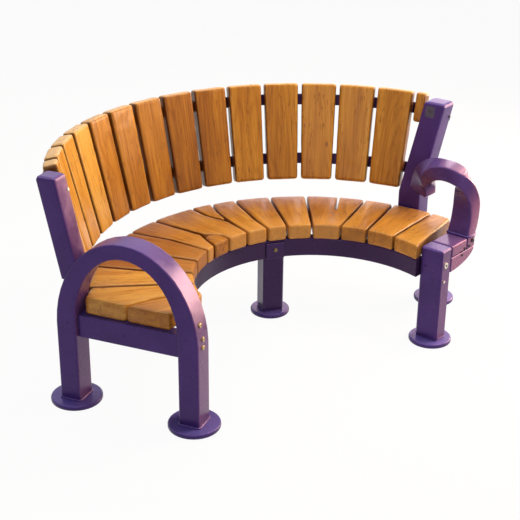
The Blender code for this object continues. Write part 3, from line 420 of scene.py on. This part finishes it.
def timber_figure():
    """The grain in a board's own place, with the grain along its +Y: colour, roughness and height.

    Facing is the surface's direction in the same place, so that the sides facing the next board get
    painted shade, the ends their own tone and, on the slats, painted light, and the sawn ends have
    cracks instead of streaks.
    """
    tree = bpy.data.node_groups.new("timber_figure", "ShaderNodeTree")
    for name, kind in (("Place", "Vector"), ("Facing", "Vector"), ("Tone", "Float"),
                       ("Seam shade", "Float"), ("Ends", "Float"), ("Lit ends", "Float")):
        tree.interface.new_socket(name, in_out="INPUT", socket_type="NodeSocket" + kind)
    for name, kind in (("Colour", "Color"), ("Roughness", "Float"), ("Height", "Float")):
        tree.interface.new_socket(name, in_out="OUTPUT", socket_type="NodeSocket" + kind)
    board = tree.nodes.new("NodeGroupInput")
    place = board.outputs["Place"]

    broad = noise(tree, place, (17.0, 1.6, 17.0), 2.0)
    bands = noise(tree, place, (62.0, 2.2, 62.0), 3.0, 0.6)
    streaks = noise(tree, place, (190.0, 5.0, 190.0), 3.0, 0.65)
    pores = noise(tree, place, (250.0, 24.0, 250.0), 1.5)
    clusters = noise(tree, place, (30.0, 7.0, 30.0), 1.0)
    flecks = maths(tree, "MULTIPLY", between(tree, pores, 0.6, 0.67),
                   between(tree, clusters, 0.42, 0.6))

    rings = noise(tree, place, (8.0, 1.1, 8.0), 2.0, 0.4)
    wave = maths(tree, "SINE", maths(tree, "MULTIPLY", rings, 95.0))
    rings = maths(tree, "POWER", between(tree, wave, -1.0, 1.0), 4.0)

    cells = shader_step(tree, "ShaderNodeVectorMath", {0: place, 1: (9.0, 4.6, 9.0)},
                        operation="MULTIPLY")
    knot = shader_step(tree, "ShaderNodeTexVoronoi", {"Vector": cells.outputs[0], "Scale": 1.0})
    knots = between(tree, knot.outputs["Distance"], 0.03, 0.075, 1.0, 0.0)

    check = noise(tree, place, (34.0, 4.0, 34.0), 2.0, 0.4)
    check = maths(tree, "ABSOLUTE", maths(tree, "SUBTRACT", check, 0.5))
    check = maths(tree, "MULTIPLY", between(tree, check, 0.0, 0.006, 1.0, 0.0),
                  between(tree, clusters, 0.52, 0.6))

    turned = shader_step(tree, "ShaderNodeSeparateXYZ", {0: board.outputs["Facing"]})
    # Painted shade: the side faces between boards darken toward the seam colour
    sides = between(tree, maths(tree, "ABSOLUTE", turned.outputs["X"]), 0.55, 0.9)
    seam_shade = maths(tree, "MULTIPLY", sides, board.outputs["Seam shade"])
    ends = between(tree, maths(tree, "ABSOLUTE", turned.outputs["Y"]), 0.5, 0.85)
    split = noise(tree, place, (42.0, 6.0, 16.0), 2.0, 0.45)
    split = maths(tree, "ABSOLUTE", maths(tree, "SUBTRACT", split, 0.5))
    cracks = maths(tree, "MULTIPLY", between(tree, split, 0.0, 0.018, 1.0, 0.0), ends)
    cracks = maths(tree, "MULTIPLY", cracks, between(tree, clusters, 0.46, 0.56))

    tone = maths(tree, "ADD", maths(tree, "MULTIPLY", broad, 0.9),
                 maths(tree, "MULTIPLY", bands, 0.75))
    tone = maths(tree, "ADD", tone, maths(tree, "MULTIPLY", streaks, 0.55))
    tone = maths(tree, "SUBTRACT", tone, maths(tree, "MULTIPLY", rings, 0.14))
    tone = maths(tree, "ADD", tone, maths(tree, "SUBTRACT", board.outputs["Tone"], 0.55))
    tone = maths(tree, "ADD", tone, maths(tree, "MULTIPLY", ends, board.outputs["Ends"]))
    ramp = shader_step(tree, "ShaderNodeValToRGB", {0: tone})
    shades = ramp.color_ramp
    shades.elements[0].position = 0.0
    shades.elements[0].color = (*DARKEST_GRAIN, 1.0)
    shades.elements[1].position = 1.0
    shades.elements[1].color = (*PALEST_GRAIN, 1.0)
    for position, colour in MIDDLE_GRAIN:
        shades.elements.new(position).color = (*colour, 1.0)
    colour = mixed(tree, maths(tree, "MULTIPLY", flecks, 0.7), ramp.outputs[0], FLECK_COLOUR)
    colour = mixed(tree, maths(tree, "MULTIPLY", knots, 0.7), colour, KNOT_COLOUR)
    colour = mixed(tree, maths(tree, "MULTIPLY", check, 0.75), colour, CHECK_COLOUR)
    colour = mixed(tree, maths(tree, "MULTIPLY", seam_shade, 0.82), colour, SEAM_SHADE_COLOUR)
    # Painted light: the end faces turn paler
    lit_end_share = maths(tree, "MULTIPLY", ends, board.outputs["Lit ends"])
    colour = mixed(tree, lit_end_share, colour, PAINTED_LIGHT_END_COLOUR)
    colour = mixed(tree, maths(tree, "MULTIPLY", cracks, 0.85), colour, CRACK_COLOUR)

    roughness = maths(tree, "ADD", between(tree, streaks, 0.3, 0.7, 0.26, 0.40),
                      maths(tree, "MULTIPLY", flecks, 0.2))
    roughness = maths(tree, "ADD", roughness, maths(tree, "MULTIPLY", ends, 0.15))
    height = maths(tree, "SUBTRACT", streaks, maths(tree, "MULTIPLY", rings, 0.3))
    height = maths(tree, "SUBTRACT", height, maths(tree, "ADD", flecks, knots))
    furrows = maths(tree, "MULTIPLY", maths(tree, "ADD", cracks, check), 2.5)
    height = maths(tree, "SUBTRACT", height, furrows)
    figure = {"Colour": colour, "Roughness": roughness, "Height": height}
    shader_step(tree, "NodeGroupOutput", figure)
    return tree


def varnished_timber(name, middle, rotation, chance, tone, ends,
                     lit_ends=0.0, seam_shade=1.0, painted_sheen=0.0):
    """Varnished timber for one board, with its grain along the board's own +Y.

    The ends are lighter or darker by a tone; on the slats the lighter ends are painted light. A
    painted sheen makes the rear mauve and darker, painted sheen and shade, and the front paler, a
    painted highlight.
    """
    material, tree, shader = new_material(name)
    shift = Vector([chance.uniform(-0.4, 0.4) for _ in range(3)])
    coordinates = tree.nodes.new("ShaderNodeTexCoord")
    mapping = shader_step(tree, "ShaderNodeMapping", {
        "Vector": coordinates.outputs["Object"],
        "Location": middle,
        "Rotation": rotation,
    }, vector_type="TEXTURE")
    facing_way = shader_step(tree, "ShaderNodeMapping", {
        "Vector": coordinates.outputs["Normal"],
        "Rotation": rotation,
    }, vector_type="TEXTURE")
    moved = shader_step(tree, "ShaderNodeVectorMath", {0: mapping.outputs[0], 1: shift},
                        operation="ADD")
    figure = tree.nodes.new("ShaderNodeGroup")
    figure.node_tree = grain
    tree.links.new(moved.outputs[0], figure.inputs["Place"])
    tree.links.new(facing_way.outputs[0], figure.inputs["Facing"])
    for socket, value in (("Tone", tone), ("Seam shade", seam_shade), ("Ends", ends), ("Lit ends", lit_ends)):
        figure.inputs[socket].default_value = value
    along = shader_step(tree, "ShaderNodeSeparateXYZ", {0: mapping.outputs[0]}).outputs["Y"]
    # Painted sheen and shade: mauve and darker towards the rear
    sheen_mask = noise(tree, moved.outputs[0], (14.0, 9.0, 14.0), 2.0)
    sheen_mask = maths(tree, "MULTIPLY", between(tree, sheen_mask, 0.3, 0.6, 0.5, 1.0),
                 between(tree, along, -0.02, 0.12))
    sheen_mask = maths(tree, "MULTIPLY", sheen_mask, painted_sheen)
    colour = mixed(tree, sheen_mask, figure.outputs["Colour"], PAINTED_MAUVE_SHEEN)
    # Painted highlight: paler towards the front edge
    front = maths(tree, "MULTIPLY", between(tree, along, -0.06, -0.16), painted_sheen * 0.7)
    colour = mixed(tree, front, colour, PAINTED_FRONT_HIGHLIGHT)
    tree.links.new(colour, shader.inputs["Base Color"])
    tree.links.new(figure.outputs["Roughness"], shader.inputs["Roughness"])
    bumped(tree, shader, figure.outputs["Height"], VARNISH_DEPTH, 0.38)
    shader.inputs["Specular IOR Level"].default_value = 0.42
    shader.inputs["Specular Tint"].default_value = VARNISH_TINT
    shader.inputs["Coat Weight"].default_value = 0.12
    shader.inputs["Coat Roughness"].default_value = 0.1
    return material


# Paint and metal

def enamel(name, dark, light, roughness, lit_side_light, top_light, worn_place=None):
    """Thick glossy paint with a faint orange-peel surface and grey scuffs.

    It has painted light: pink on its lit side with a painted pink highlight, and painted blue light
    on top.
    """
    material, tree, shader = new_material(name)
    coordinates = tree.nodes.new("ShaderNodeTexCoord").outputs
    place = coordinates["Object"]
    lit_side = shader_step(tree, "ShaderNodeVectorMath", {0: coordinates["Normal"], 1: LIT_SIDE},
                        operation="DOT_PRODUCT").outputs["Value"]
    upward = shader_step(tree, "ShaderNodeSeparateXYZ", {0: coordinates["Normal"]}).outputs["Z"]
    clouds = noise(tree, place, (7.0, 7.0, 7.0), 3.0)
    dust = noise(tree, place, (70.0, 70.0, 70.0), 4.0, 0.7)
    peel = noise(tree, place, (260.0, 260.0, 260.0), 2.0)
    dents = noise(tree, place, (30.0, 30.0, 30.0), 2.0)
    colour = mixed(tree, between(tree, clouds, 0.35, 0.65), dark, light)
    # Painted light: pinker on faces turned to the lit side, and a painted pink highlight where they
    # face it most
    lit_side_share = maths(tree, "ADD", lit_side, maths(tree, "MULTIPLY", clouds, 0.2))
    colour = mixed(tree, between(tree, lit_side_share, 0.4, 1.0, 0.0, lit_side_light), colour, PAINTED_LIGHT_PINK)
    highlight_share = between(tree, lit_side_share, 1.0, 1.1, 0.0, min(0.75, 2.0 * lit_side_light))
    colour = mixed(tree, highlight_share, colour, PAINTED_HIGHLIGHT_PINK)
    # Painted light: upward faces turn bluer and lighter, as if lit from above
    colour = mixed(tree, between(tree, upward, 0.25, 0.95, 0.0, top_light), colour, PAINTED_TOP_LIGHT_BLUE)
    scuffs = maths(tree, "MULTIPLY", between(tree, dust, 0.6, 0.72),
                   between(tree, clouds, 0.5, 0.62))
    colour = mixed(tree, maths(tree, "MULTIPLY", scuffs, 0.35), colour, SCUFFED_GREY)
    if worn_place is not None:
        middle, rotation, half_sizes = worn_place
        span = shader_step(tree, "ShaderNodeMapping", {
            "Vector": place, "Location": middle, "Rotation": rotation, "Scale": half_sizes,
        }, vector_type="TEXTURE")
        reach = shader_step(tree, "ShaderNodeVectorMath", {0: span.outputs[0]}, operation="ABSOLUTE")
        reach = shader_step(tree, "ShaderNodeSeparateXYZ", {0: reach.outputs[0]}).outputs
        edge = maths(tree, "MAXIMUM", maths(tree, "MAXIMUM", reach["X"], reach["Y"]), reach["Z"])
        edge = maths(tree, "ADD", edge, maths(tree, "MULTIPLY", dust, 0.4))
        worn = between(tree, edge, 1.1, 1.3, 0.8, 0.0)
        colour = mixed(tree, worn, colour, WORN_GREY)
    tree.links.new(colour, shader.inputs["Base Color"])
    rough = between(tree, clouds, 0.3, 0.7, roughness - 0.05, roughness + 0.07)
    rough = maths(tree, "ADD", rough, maths(tree, "MULTIPLY", scuffs, 0.12))
    tree.links.new(rough, shader.inputs["Roughness"])
    height = maths(tree, "ADD", maths(tree, "MULTIPLY", peel, 0.2), dents)
    bumped(tree, shader, height, ENAMEL_DEPTH, 0.4)
    shader.inputs["Specular IOR Level"].default_value = 0.5
    shader.inputs["Specular Tint"].default_value = ENAMEL_TINT
    return material


def plated_metal(name, dark, light, roughness):
    material, tree, shader = new_material(name)
    place = tree.nodes.new("ShaderNodeTexCoord").outputs["Object"]
    wear = noise(tree, place, (180.0, 180.0, 180.0), 3.0)
    colour = mixed(tree, between(tree, wear, 0.35, 0.65), dark, light)
    tree.links.new(colour, shader.inputs["Base Color"])
    rough = between(tree, wear, 0.3, 0.7, roughness + 0.1, roughness - 0.05)
    tree.links.new(rough, shader.inputs["Roughness"])
    shader.inputs["Metallic"].default_value = 1.0
    return material


# Camera, light and floor

def add_camera():
    level = CAMERA_LOOK.normalized()
    across = level.cross(UP)
    look = level * math.cos(CAMERA_DOWNWARD) - UP * math.sin(CAMERA_DOWNWARD)
    upward = across.cross(look)
    side = across * math.cos(CAMERA_ROLL) + upward * math.sin(CAMERA_ROLL)
    top = upward * math.cos(CAMERA_ROLL) - across * math.sin(CAMERA_ROLL)
    place = Matrix.Identity(4)
    for column, axis in enumerate((side, top, -look, CAMERA_PLACE)):
        place.col[column][:3] = axis
    bpy.ops.object.camera_add()
    camera = bpy.context.active_object
    camera.matrix_world = place
    camera.data.sensor_width = SENSOR_WIDTH
    camera.data.lens = FOCAL_PIXELS / IMAGE_PIXELS * SENSOR_WIDTH
    camera.data.shift_x = SHIFT_PIXELS[0] / IMAGE_PIXELS
    camera.data.shift_y = SHIFT_PIXELS[1] / IMAGE_PIXELS
    bpy.context.scene.camera = camera


def add_lamp(name, place, size, energy, colour):
    """A soft oblong lamp that points at the middle of the bench."""
    bpy.ops.object.light_add(type="AREA", location=place)
    lamp = bpy.context.active_object
    lamp.name = name
    lamp.data.shape = "RECTANGLE"
    lamp.data.size, lamp.data.size_y = size
    lamp.data.energy = energy
    lamp.data.color = colour
    aim = LAMP_AIM - Vector(place)
    lamp.rotation_euler = aim.to_track_quat("-Z", "Y").to_euler()


def seen_directly(tree):
    """1 for rays from the camera and for those seen in gloss or through glass, and otherwise 0."""
    path = tree.nodes.new("ShaderNodeLightPath").outputs
    seen = maths(tree, "MAXIMUM", path["Is Camera Ray"], path["Is Glossy Ray"])
    return maths(tree, "MAXIMUM", seen, path["Is Transmission Ray"])


def add_studio():
    bpy.context.scene.view_settings.view_transform = "Standard"
    world = bpy.data.worlds.new("studio")
    world.use_nodes = True
    bpy.context.scene.world = world
    tree = world.node_tree
    tree.nodes.clear()
    soft = shader_step(tree, "ShaderNodeBackground",
                       {"Color": SOFT_SKY, "Strength": SOFT_SKY_STRENGTH})
    plain = shader_step(tree, "ShaderNodeBackground", {"Color": WHITE, "Strength": 1.0})
    choice = shader_step(tree, "ShaderNodeMixShader", {0: seen_directly(tree), 1: soft.outputs[0],
                                                       2: plain.outputs[0]})
    shader_step(tree, "ShaderNodeOutputWorld", {"Surface": choice.outputs[0]})

    bpy.ops.object.select_all(action="DESELECT")
    bpy.ops.mesh.primitive_plane_add(size=FLOOR_SIZE, location=(0, 0, 0))
    floor = bpy.context.active_object
    floor.name = "studio_floor"
    material, tree, shader = new_material("pale_floor")
    output = tree.nodes["Material Output"]
    grit = noise(tree, tree.nodes.new("ShaderNodeTexCoord").outputs["Object"], (3.0, 3.0, 3.0))
    colour = mixed(tree, grit, *FLOOR_GREYS)
    tree.links.new(colour, shader.inputs["Base Color"])
    shader.inputs["Roughness"].default_value = 0.9
    shader.inputs["Specular IOR Level"].default_value = 0.0
    glow = shader_step(tree, "ShaderNodeEmission", {"Color": WHITE, "Strength": 1.0})
    share = maths(tree, "MULTIPLY", seen_directly(tree), FLOOR_GLOW_SHARE)
    blend = shader_step(tree, "ShaderNodeMixShader", {0: share, 1: shader.outputs[0],
                                                      2: glow.outputs[0]})
    tree.links.new(blend.outputs[0], output.inputs["Surface"])
    floor.data.materials.append(material)

    for lamp in LAMPS:
        add_lamp(*lamp)


# Shared finishes

chance = random.Random(7)
timber_unevenness = bpy.data.textures.new("timber_unevenness", "CLOUDS")
timber_unevenness.noise_scale = UNEVENNESS_SPREAD
timber_unevenness.noise_depth = 1
grain = timber_figure()
purple_enamel = enamel("purple_enamel", (0.038, 0.019, 0.112), (0.057, 0.028, 0.154),
                       roughness=0.27, lit_side_light=0.35, top_light=0.42)
# Painted light: the floor plates' enamel takes the strongest painted blue top light
plate_enamel = enamel("plate_enamel", (0.030, 0.020, 0.108), (0.045, 0.029, 0.146),
                      roughness=0.27, lit_side_light=0.1, top_light=0.85)
# Painted light: the right arm's enamel is lighter and takes the most painted pink light on its lit
# side
lit_side_enamel = enamel("lit_side_enamel", (0.062, 0.032, 0.130), (0.092, 0.046, 0.176),
                      roughness=0.24, lit_side_light=0.95, top_light=0.2)
scuffed_enamel = enamel("scuffed_enamel", (0.046, 0.024, 0.128), (0.068, 0.036, 0.176),
                        roughness=0.3, lit_side_light=0.0, top_light=0.3, worn_place=WORN_PLACE)
# Painted shade: darker enamels for the steel under the seat, one of them browner
under_seat_shade_enamel = enamel("under_seat_shade_enamel", (0.020, 0.010, 0.040), (0.030, 0.014, 0.056),
                     roughness=0.3, lit_side_light=0.0, top_light=0.3)
shaded_brown_enamel = enamel("shaded_brown_enamel", (0.018, 0.008, 0.025), (0.027, 0.011, 0.038),
                      roughness=0.3, lit_side_light=0.0, top_light=0.3)
dark_enamel = enamel("dark_enamel", (0.020, 0.011, 0.040), (0.030, 0.016, 0.058),
                     roughness=0.36, lit_side_light=0.0, top_light=0.0)
brass_plate = plated_metal("brass_plate", (0.42, 0.29, 0.11), (0.70, 0.55, 0.28), roughness=0.36)
dull_plate = plated_metal("dull_plate", (0.09, 0.065, 0.035), (0.30, 0.22, 0.10), roughness=0.42)
bright_plate = plated_metal("bright_plate", (0.62, 0.55, 0.44), (0.85, 0.78, 0.66), roughness=0.3)
dark_plate = plated_metal("dark_plate", (0.05, 0.04, 0.05), (0.12, 0.10, 0.11), roughness=0.5)


# The boards

def dress_planks():
    for number, node in enumerate(PLANKS, start=1):
        voxel = SPLIT_PLANK_VOXEL if number == SPLIT_PLANK else TIMBER_VOXEL
        plank = worn_timber(node, f"worn_plank_{number:02d}", voxel)
        turn = turn_of(node) + chance.uniform(-PLANK_GRAIN_STRAY, PLANK_GRAIN_STRAY)
        rotation = (0.0, 0.0, -math.radians(turn))
        seam_shade = 0.0 if number in PLANKS_WITHOUT_SEAM_SHADE else 1.0
        painted_sheen = STRONG_SHEEN if number in SHEEN_PLANKS else FAINT_SHEEN
        material = varnished_timber(f"plank_timber_{number:02d}", middle_of(node), rotation, chance,
                                    PLANK_TONES[number - 1], PLANK_ENDS_TONE, seam_shade=seam_shade,
                                    painted_sheen=painted_sheen)
        dress(plank, material, "seat_wood", node)


def dress_slats():
    upright = math.radians(90.0 - SLAT_LEAN)
    for number, node in enumerate(SLATS, start=1):
        slat = worn_timber(node, f"worn_slat_{number:02d}")
        rotation = (upright, 0.0, -math.radians(turn_of(node)))
        material = varnished_timber(f"slat_timber_{number:02d}", middle_of(node), rotation, chance,
                                    SLAT_TONES_AND_LIGHT[number - 1], SLAT_LIT_ENDS_TONE,
                                    lit_ends=SLAT_LIT_ENDS)
        dress(slat, material, "back_wood", node)


# The steel frame

# Each solid with its finished piece. The steel under the seat has painted shade, deeper or browner,
# and the right arm has the most painted light.
ROUNDED_STEEL = [
    ("left_arch_frame", "left_arch", purple_enamel, BAR_EASING),
    ("left_back_post", "left_post", purple_enamel, POST_EASING),
    ("right_front_leg", "right_leg", purple_enamel, BAR_EASING),
    ("right_side_rail", "side_rail", lit_side_enamel, STEEL_EASING),
    ("right_corner_gusset", "corner_gusset", lit_side_enamel, STEEL_EASING),
    ("right_arm_socket", "arm_socket", lit_side_enamel, STEEL_EASING),
    ("right_arm_loop", "arm_loop", lit_side_enamel, BAR_EASING),
    ("right_back_post", "right_post", scuffed_enamel, POST_EASING),
    ("right_rear_leg", "rear_leg", under_seat_shade_enamel, BAR_EASING),
    ("centre_leg", "middle_leg", under_seat_shade_enamel, BAR_EASING),
    ("left_end_rail", "end_rail", purple_enamel, STEEL_EASING),
    ("front_seat_rail_left", "front_rail_left", shaded_brown_enamel, STEEL_EASING),
    ("front_seat_rail_right", "front_rail_right", shaded_brown_enamel, STEEL_EASING),
    ("rear_seat_rail", "back_edge_rail", under_seat_shade_enamel, STEEL_EASING),
    ("right_end_rail", "end_rail_right", under_seat_shade_enamel, STEEL_EASING),
    ("rail_joint_plate", "joint_plate", under_seat_shade_enamel, STEEL_EASING),
    ("foot_plate_left_front", "floor_plate_left_front", plate_enamel, STEEL_EASING),
    ("foot_plate_left_rear", "floor_plate_left_rear", plate_enamel, STEEL_EASING),
    ("foot_plate_centre", "floor_plate_centre", plate_enamel, STEEL_EASING),
    ("foot_plate_right_front", "floor_plate_right_front", plate_enamel, STEEL_EASING),
    ("foot_plate_right_rear", "floor_plate_right_rear", plate_enamel, STEEL_EASING),
]


def dress_steel():
    for node, name, finish, easing in ROUNDED_STEEL:
        dress(eased_steel(node, name, easing), finish, "frame_paint", node)
    for side in ("left", "centre", "right"):
        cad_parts["cross_bearer_" + side].data.materials[0] = under_seat_shade_enamel
    for level in BACK_RAIL_HEIGHTS:
        rail = eased_steel(level + "_back_rail", level + "_slat_rail", SLAT_RAIL_EASING)
        dress(rail, dark_enamel, "rail_paint", level + "_back_rail")
        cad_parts[level + "_rail_block"].data.materials[0] = dark_enamel
    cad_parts["rail_joint_bolt"].data.materials[0] = dull_plate
    legs = (("left_arch_frame", "left_leg_beads"), ("right_front_leg", "right_leg_bead"),
            ("right_rear_leg", "rear_leg_bead"), ("centre_leg", "middle_leg_bead"))
    for node, name in legs:
        bead = weld_bead(node, name, FLOOR_PLATE_TOP + BEAD_HEIGHT_ON_PLATE)
        dress(bead, purple_enamel, "frame_paint")
    bead = weld_bead("right_arm_loop", "loop_foot_bead", LOOP_FOOT_HEIGHT, LOOP_BEAD_RADIUS)
    dress(bead, purple_enamel, "frame_paint")


# Fasteners

def add_fastener(name, pattern, finish, node, start, direction):
    """A fastener where a line from start meets a node."""
    seat = seat_on(node, start, direction)
    dress(placed_copy(pattern, name, seat), finish, "bolt_metal")


def add_frame_bolts():
    brass = screw_head("brass_head_pattern", radius=0.0085, height=0.005, sides=20, socket=0.34)
    bright = screw_head("bright_washer_pattern", radius=0.0128, height=0.004, sides=24, socket=0.46)
    small = screw_head("small_head_pattern", radius=0.006, height=0.0035, sides=16, socket=0.3)

    # On the front face of the left front leg, in its own place
    left = facing(*LEFT_LEG_PLACE)
    for name, across, height in (("left_leg_bolt_upper", -0.012, 0.412),
                                 ("left_leg_bolt_middle", -0.006, 0.357),
                                 ("left_leg_bolt_lower", -0.011, 0.328)):
        start = left @ Vector((across, -BOLT_SEARCH_REACH, height))
        add_fastener(name, brass, brass_plate, "left_arch_frame", start,
                     left.to_3x3() @ Vector((0, 1, 0)))

    # On the outer side of the right end frame, in its front leg's own place
    right = facing(*RIGHT_LEG_PLACE)
    side_bolts = [
        ("right_leg_bolt", bright, bright_plate, "right_front_leg", -0.007, 0.349),
        ("right_leg_bolt_core", small, dark_plate, "right_front_leg", -0.007, 0.349),
        ("right_leg_screw", small, bright_plate, "right_front_leg", -0.012, 0.279),
        # Painted shade: the dark heads on the side rail, gusset and socket stand for dark holes
        ("side_rail_screw", small, dark_plate, "right_side_rail", 0.135, 0.376),
        ("gusset_screw", small, dark_plate, "right_corner_gusset", 0.117, 0.355),
        ("socket_screw", small, dark_plate, "right_arm_socket", 0.168, 0.378),
        ("socket_bolt", brass, dark_plate, "right_arm_socket", 0.19, 0.396),
    ]
    for name, pattern, finish, node, along, height in side_bolts:
        start = right @ Vector((BOLT_SEARCH_REACH, along, height))
        add_fastener(name, pattern, finish, node, start, right.to_3x3() @ Vector((-1, 0, 0)))

    # Screws at points of the bench, each with the way out of its surface
    painted = screw_head("painted_head_pattern", radius=0.0045, height=0.002, sides=12, socket=0.3)
    left_outward = (-0.831, -0.556, 0.0)
    screws = [
        ("right_post_screw", small, dark_plate, "right_back_post",
         (0.8007, -0.1046, 0.8445), (-0.939, -0.314, 0.139)),
        # Painted shade: a dark head stands for the dark hole in the post
        ("right_post_hole_shade", small, dark_plate, "right_back_post",
         (0.8822, -0.1361, 0.8152), (0.314, -0.937, -0.151)),
        ("left_post_screw", small, bright_plate, "left_back_post",
         (-0.8323, -0.0983, 0.8194), (0.548, -0.818, 0.175)),
        ("rear_leg_screw", painted, purple_enamel, "left_arch_frame",
         (-0.8786, -0.1247, 0.3343), left_outward),
        ("end_rail_screw", painted, purple_enamel, "left_end_rail",
         (-0.7423, -0.295, 0.3151), left_outward),
        ("front_leg_screw", painted, purple_enamel, "left_arch_frame",
         (-0.6195, -0.5117, 0.3578), left_outward),
        ("right_leg_plug", painted, purple_enamel, "right_front_leg",
         (0.5251, -0.4403, 0.3352), (-0.961, -0.276, 0.0)),
    ]
    for name, pattern, finish, node, point, outward in screws:
        start = Vector(point) + Vector(outward) * SCREW_SEARCH_REACH
        add_fastener(name, pattern, finish, node, start, -Vector(outward))
    for pattern in (brass, bright, small, painted):
        bpy.data.objects.remove(pattern)


def add_rail_screws():
    """Screw heads behind the slats and under the planks."""
    pattern = screw_head("rail_screw_pattern", radius=0.0065, height=0.0035, sides=6, socket=0.35)
    behind = []
    for node in SLATS:
        turn = turn_of(node)
        for level, height in BACK_RAIL_HEIGHTS.items():
            for side in SLAT_SCREW_TURNS:
                start = polar(BEHIND_BACK_RADIUS, turn + side, height)
                inward = (RING_CENTRE - start).to_2d().normalized().to_3d()
                seat = seat_on(level + "_back_rail", start, inward)
                if seat is not None and abs(seat.translation.z - height) < LEVEL_TOLERANCE:
                    sunk = seat @ Matrix.Translation((0.0, 0.0, -SLAT_SCREW_SINK))
                    behind.append(placed_copy(pattern, "rail_screw", sunk))
    dress(joined(behind, "slat_screws"), dark_plate, "bolt_metal")
    under = []
    for node in PLANKS:
        turn = turn_of(node)
        for radius in SEAT_RAIL_RADII:
            for rail in ("front_seat_rail_left", "front_seat_rail_right", "rear_seat_rail"):
                seat = seat_on(rail, polar(radius, turn, UNDER_SEAT_HEIGHT), UP)
                if seat is not None:
                    under.append(placed_copy(pattern, "rail_screw", seat))
    dress(joined(under, "plank_screws"), dark_plate, "bolt_metal")
    bpy.data.objects.remove(pattern)


add_camera()
add_studio()
dress_planks()
dress_slats()
dress_steel()
add_frame_bolts()
add_rail_screws()
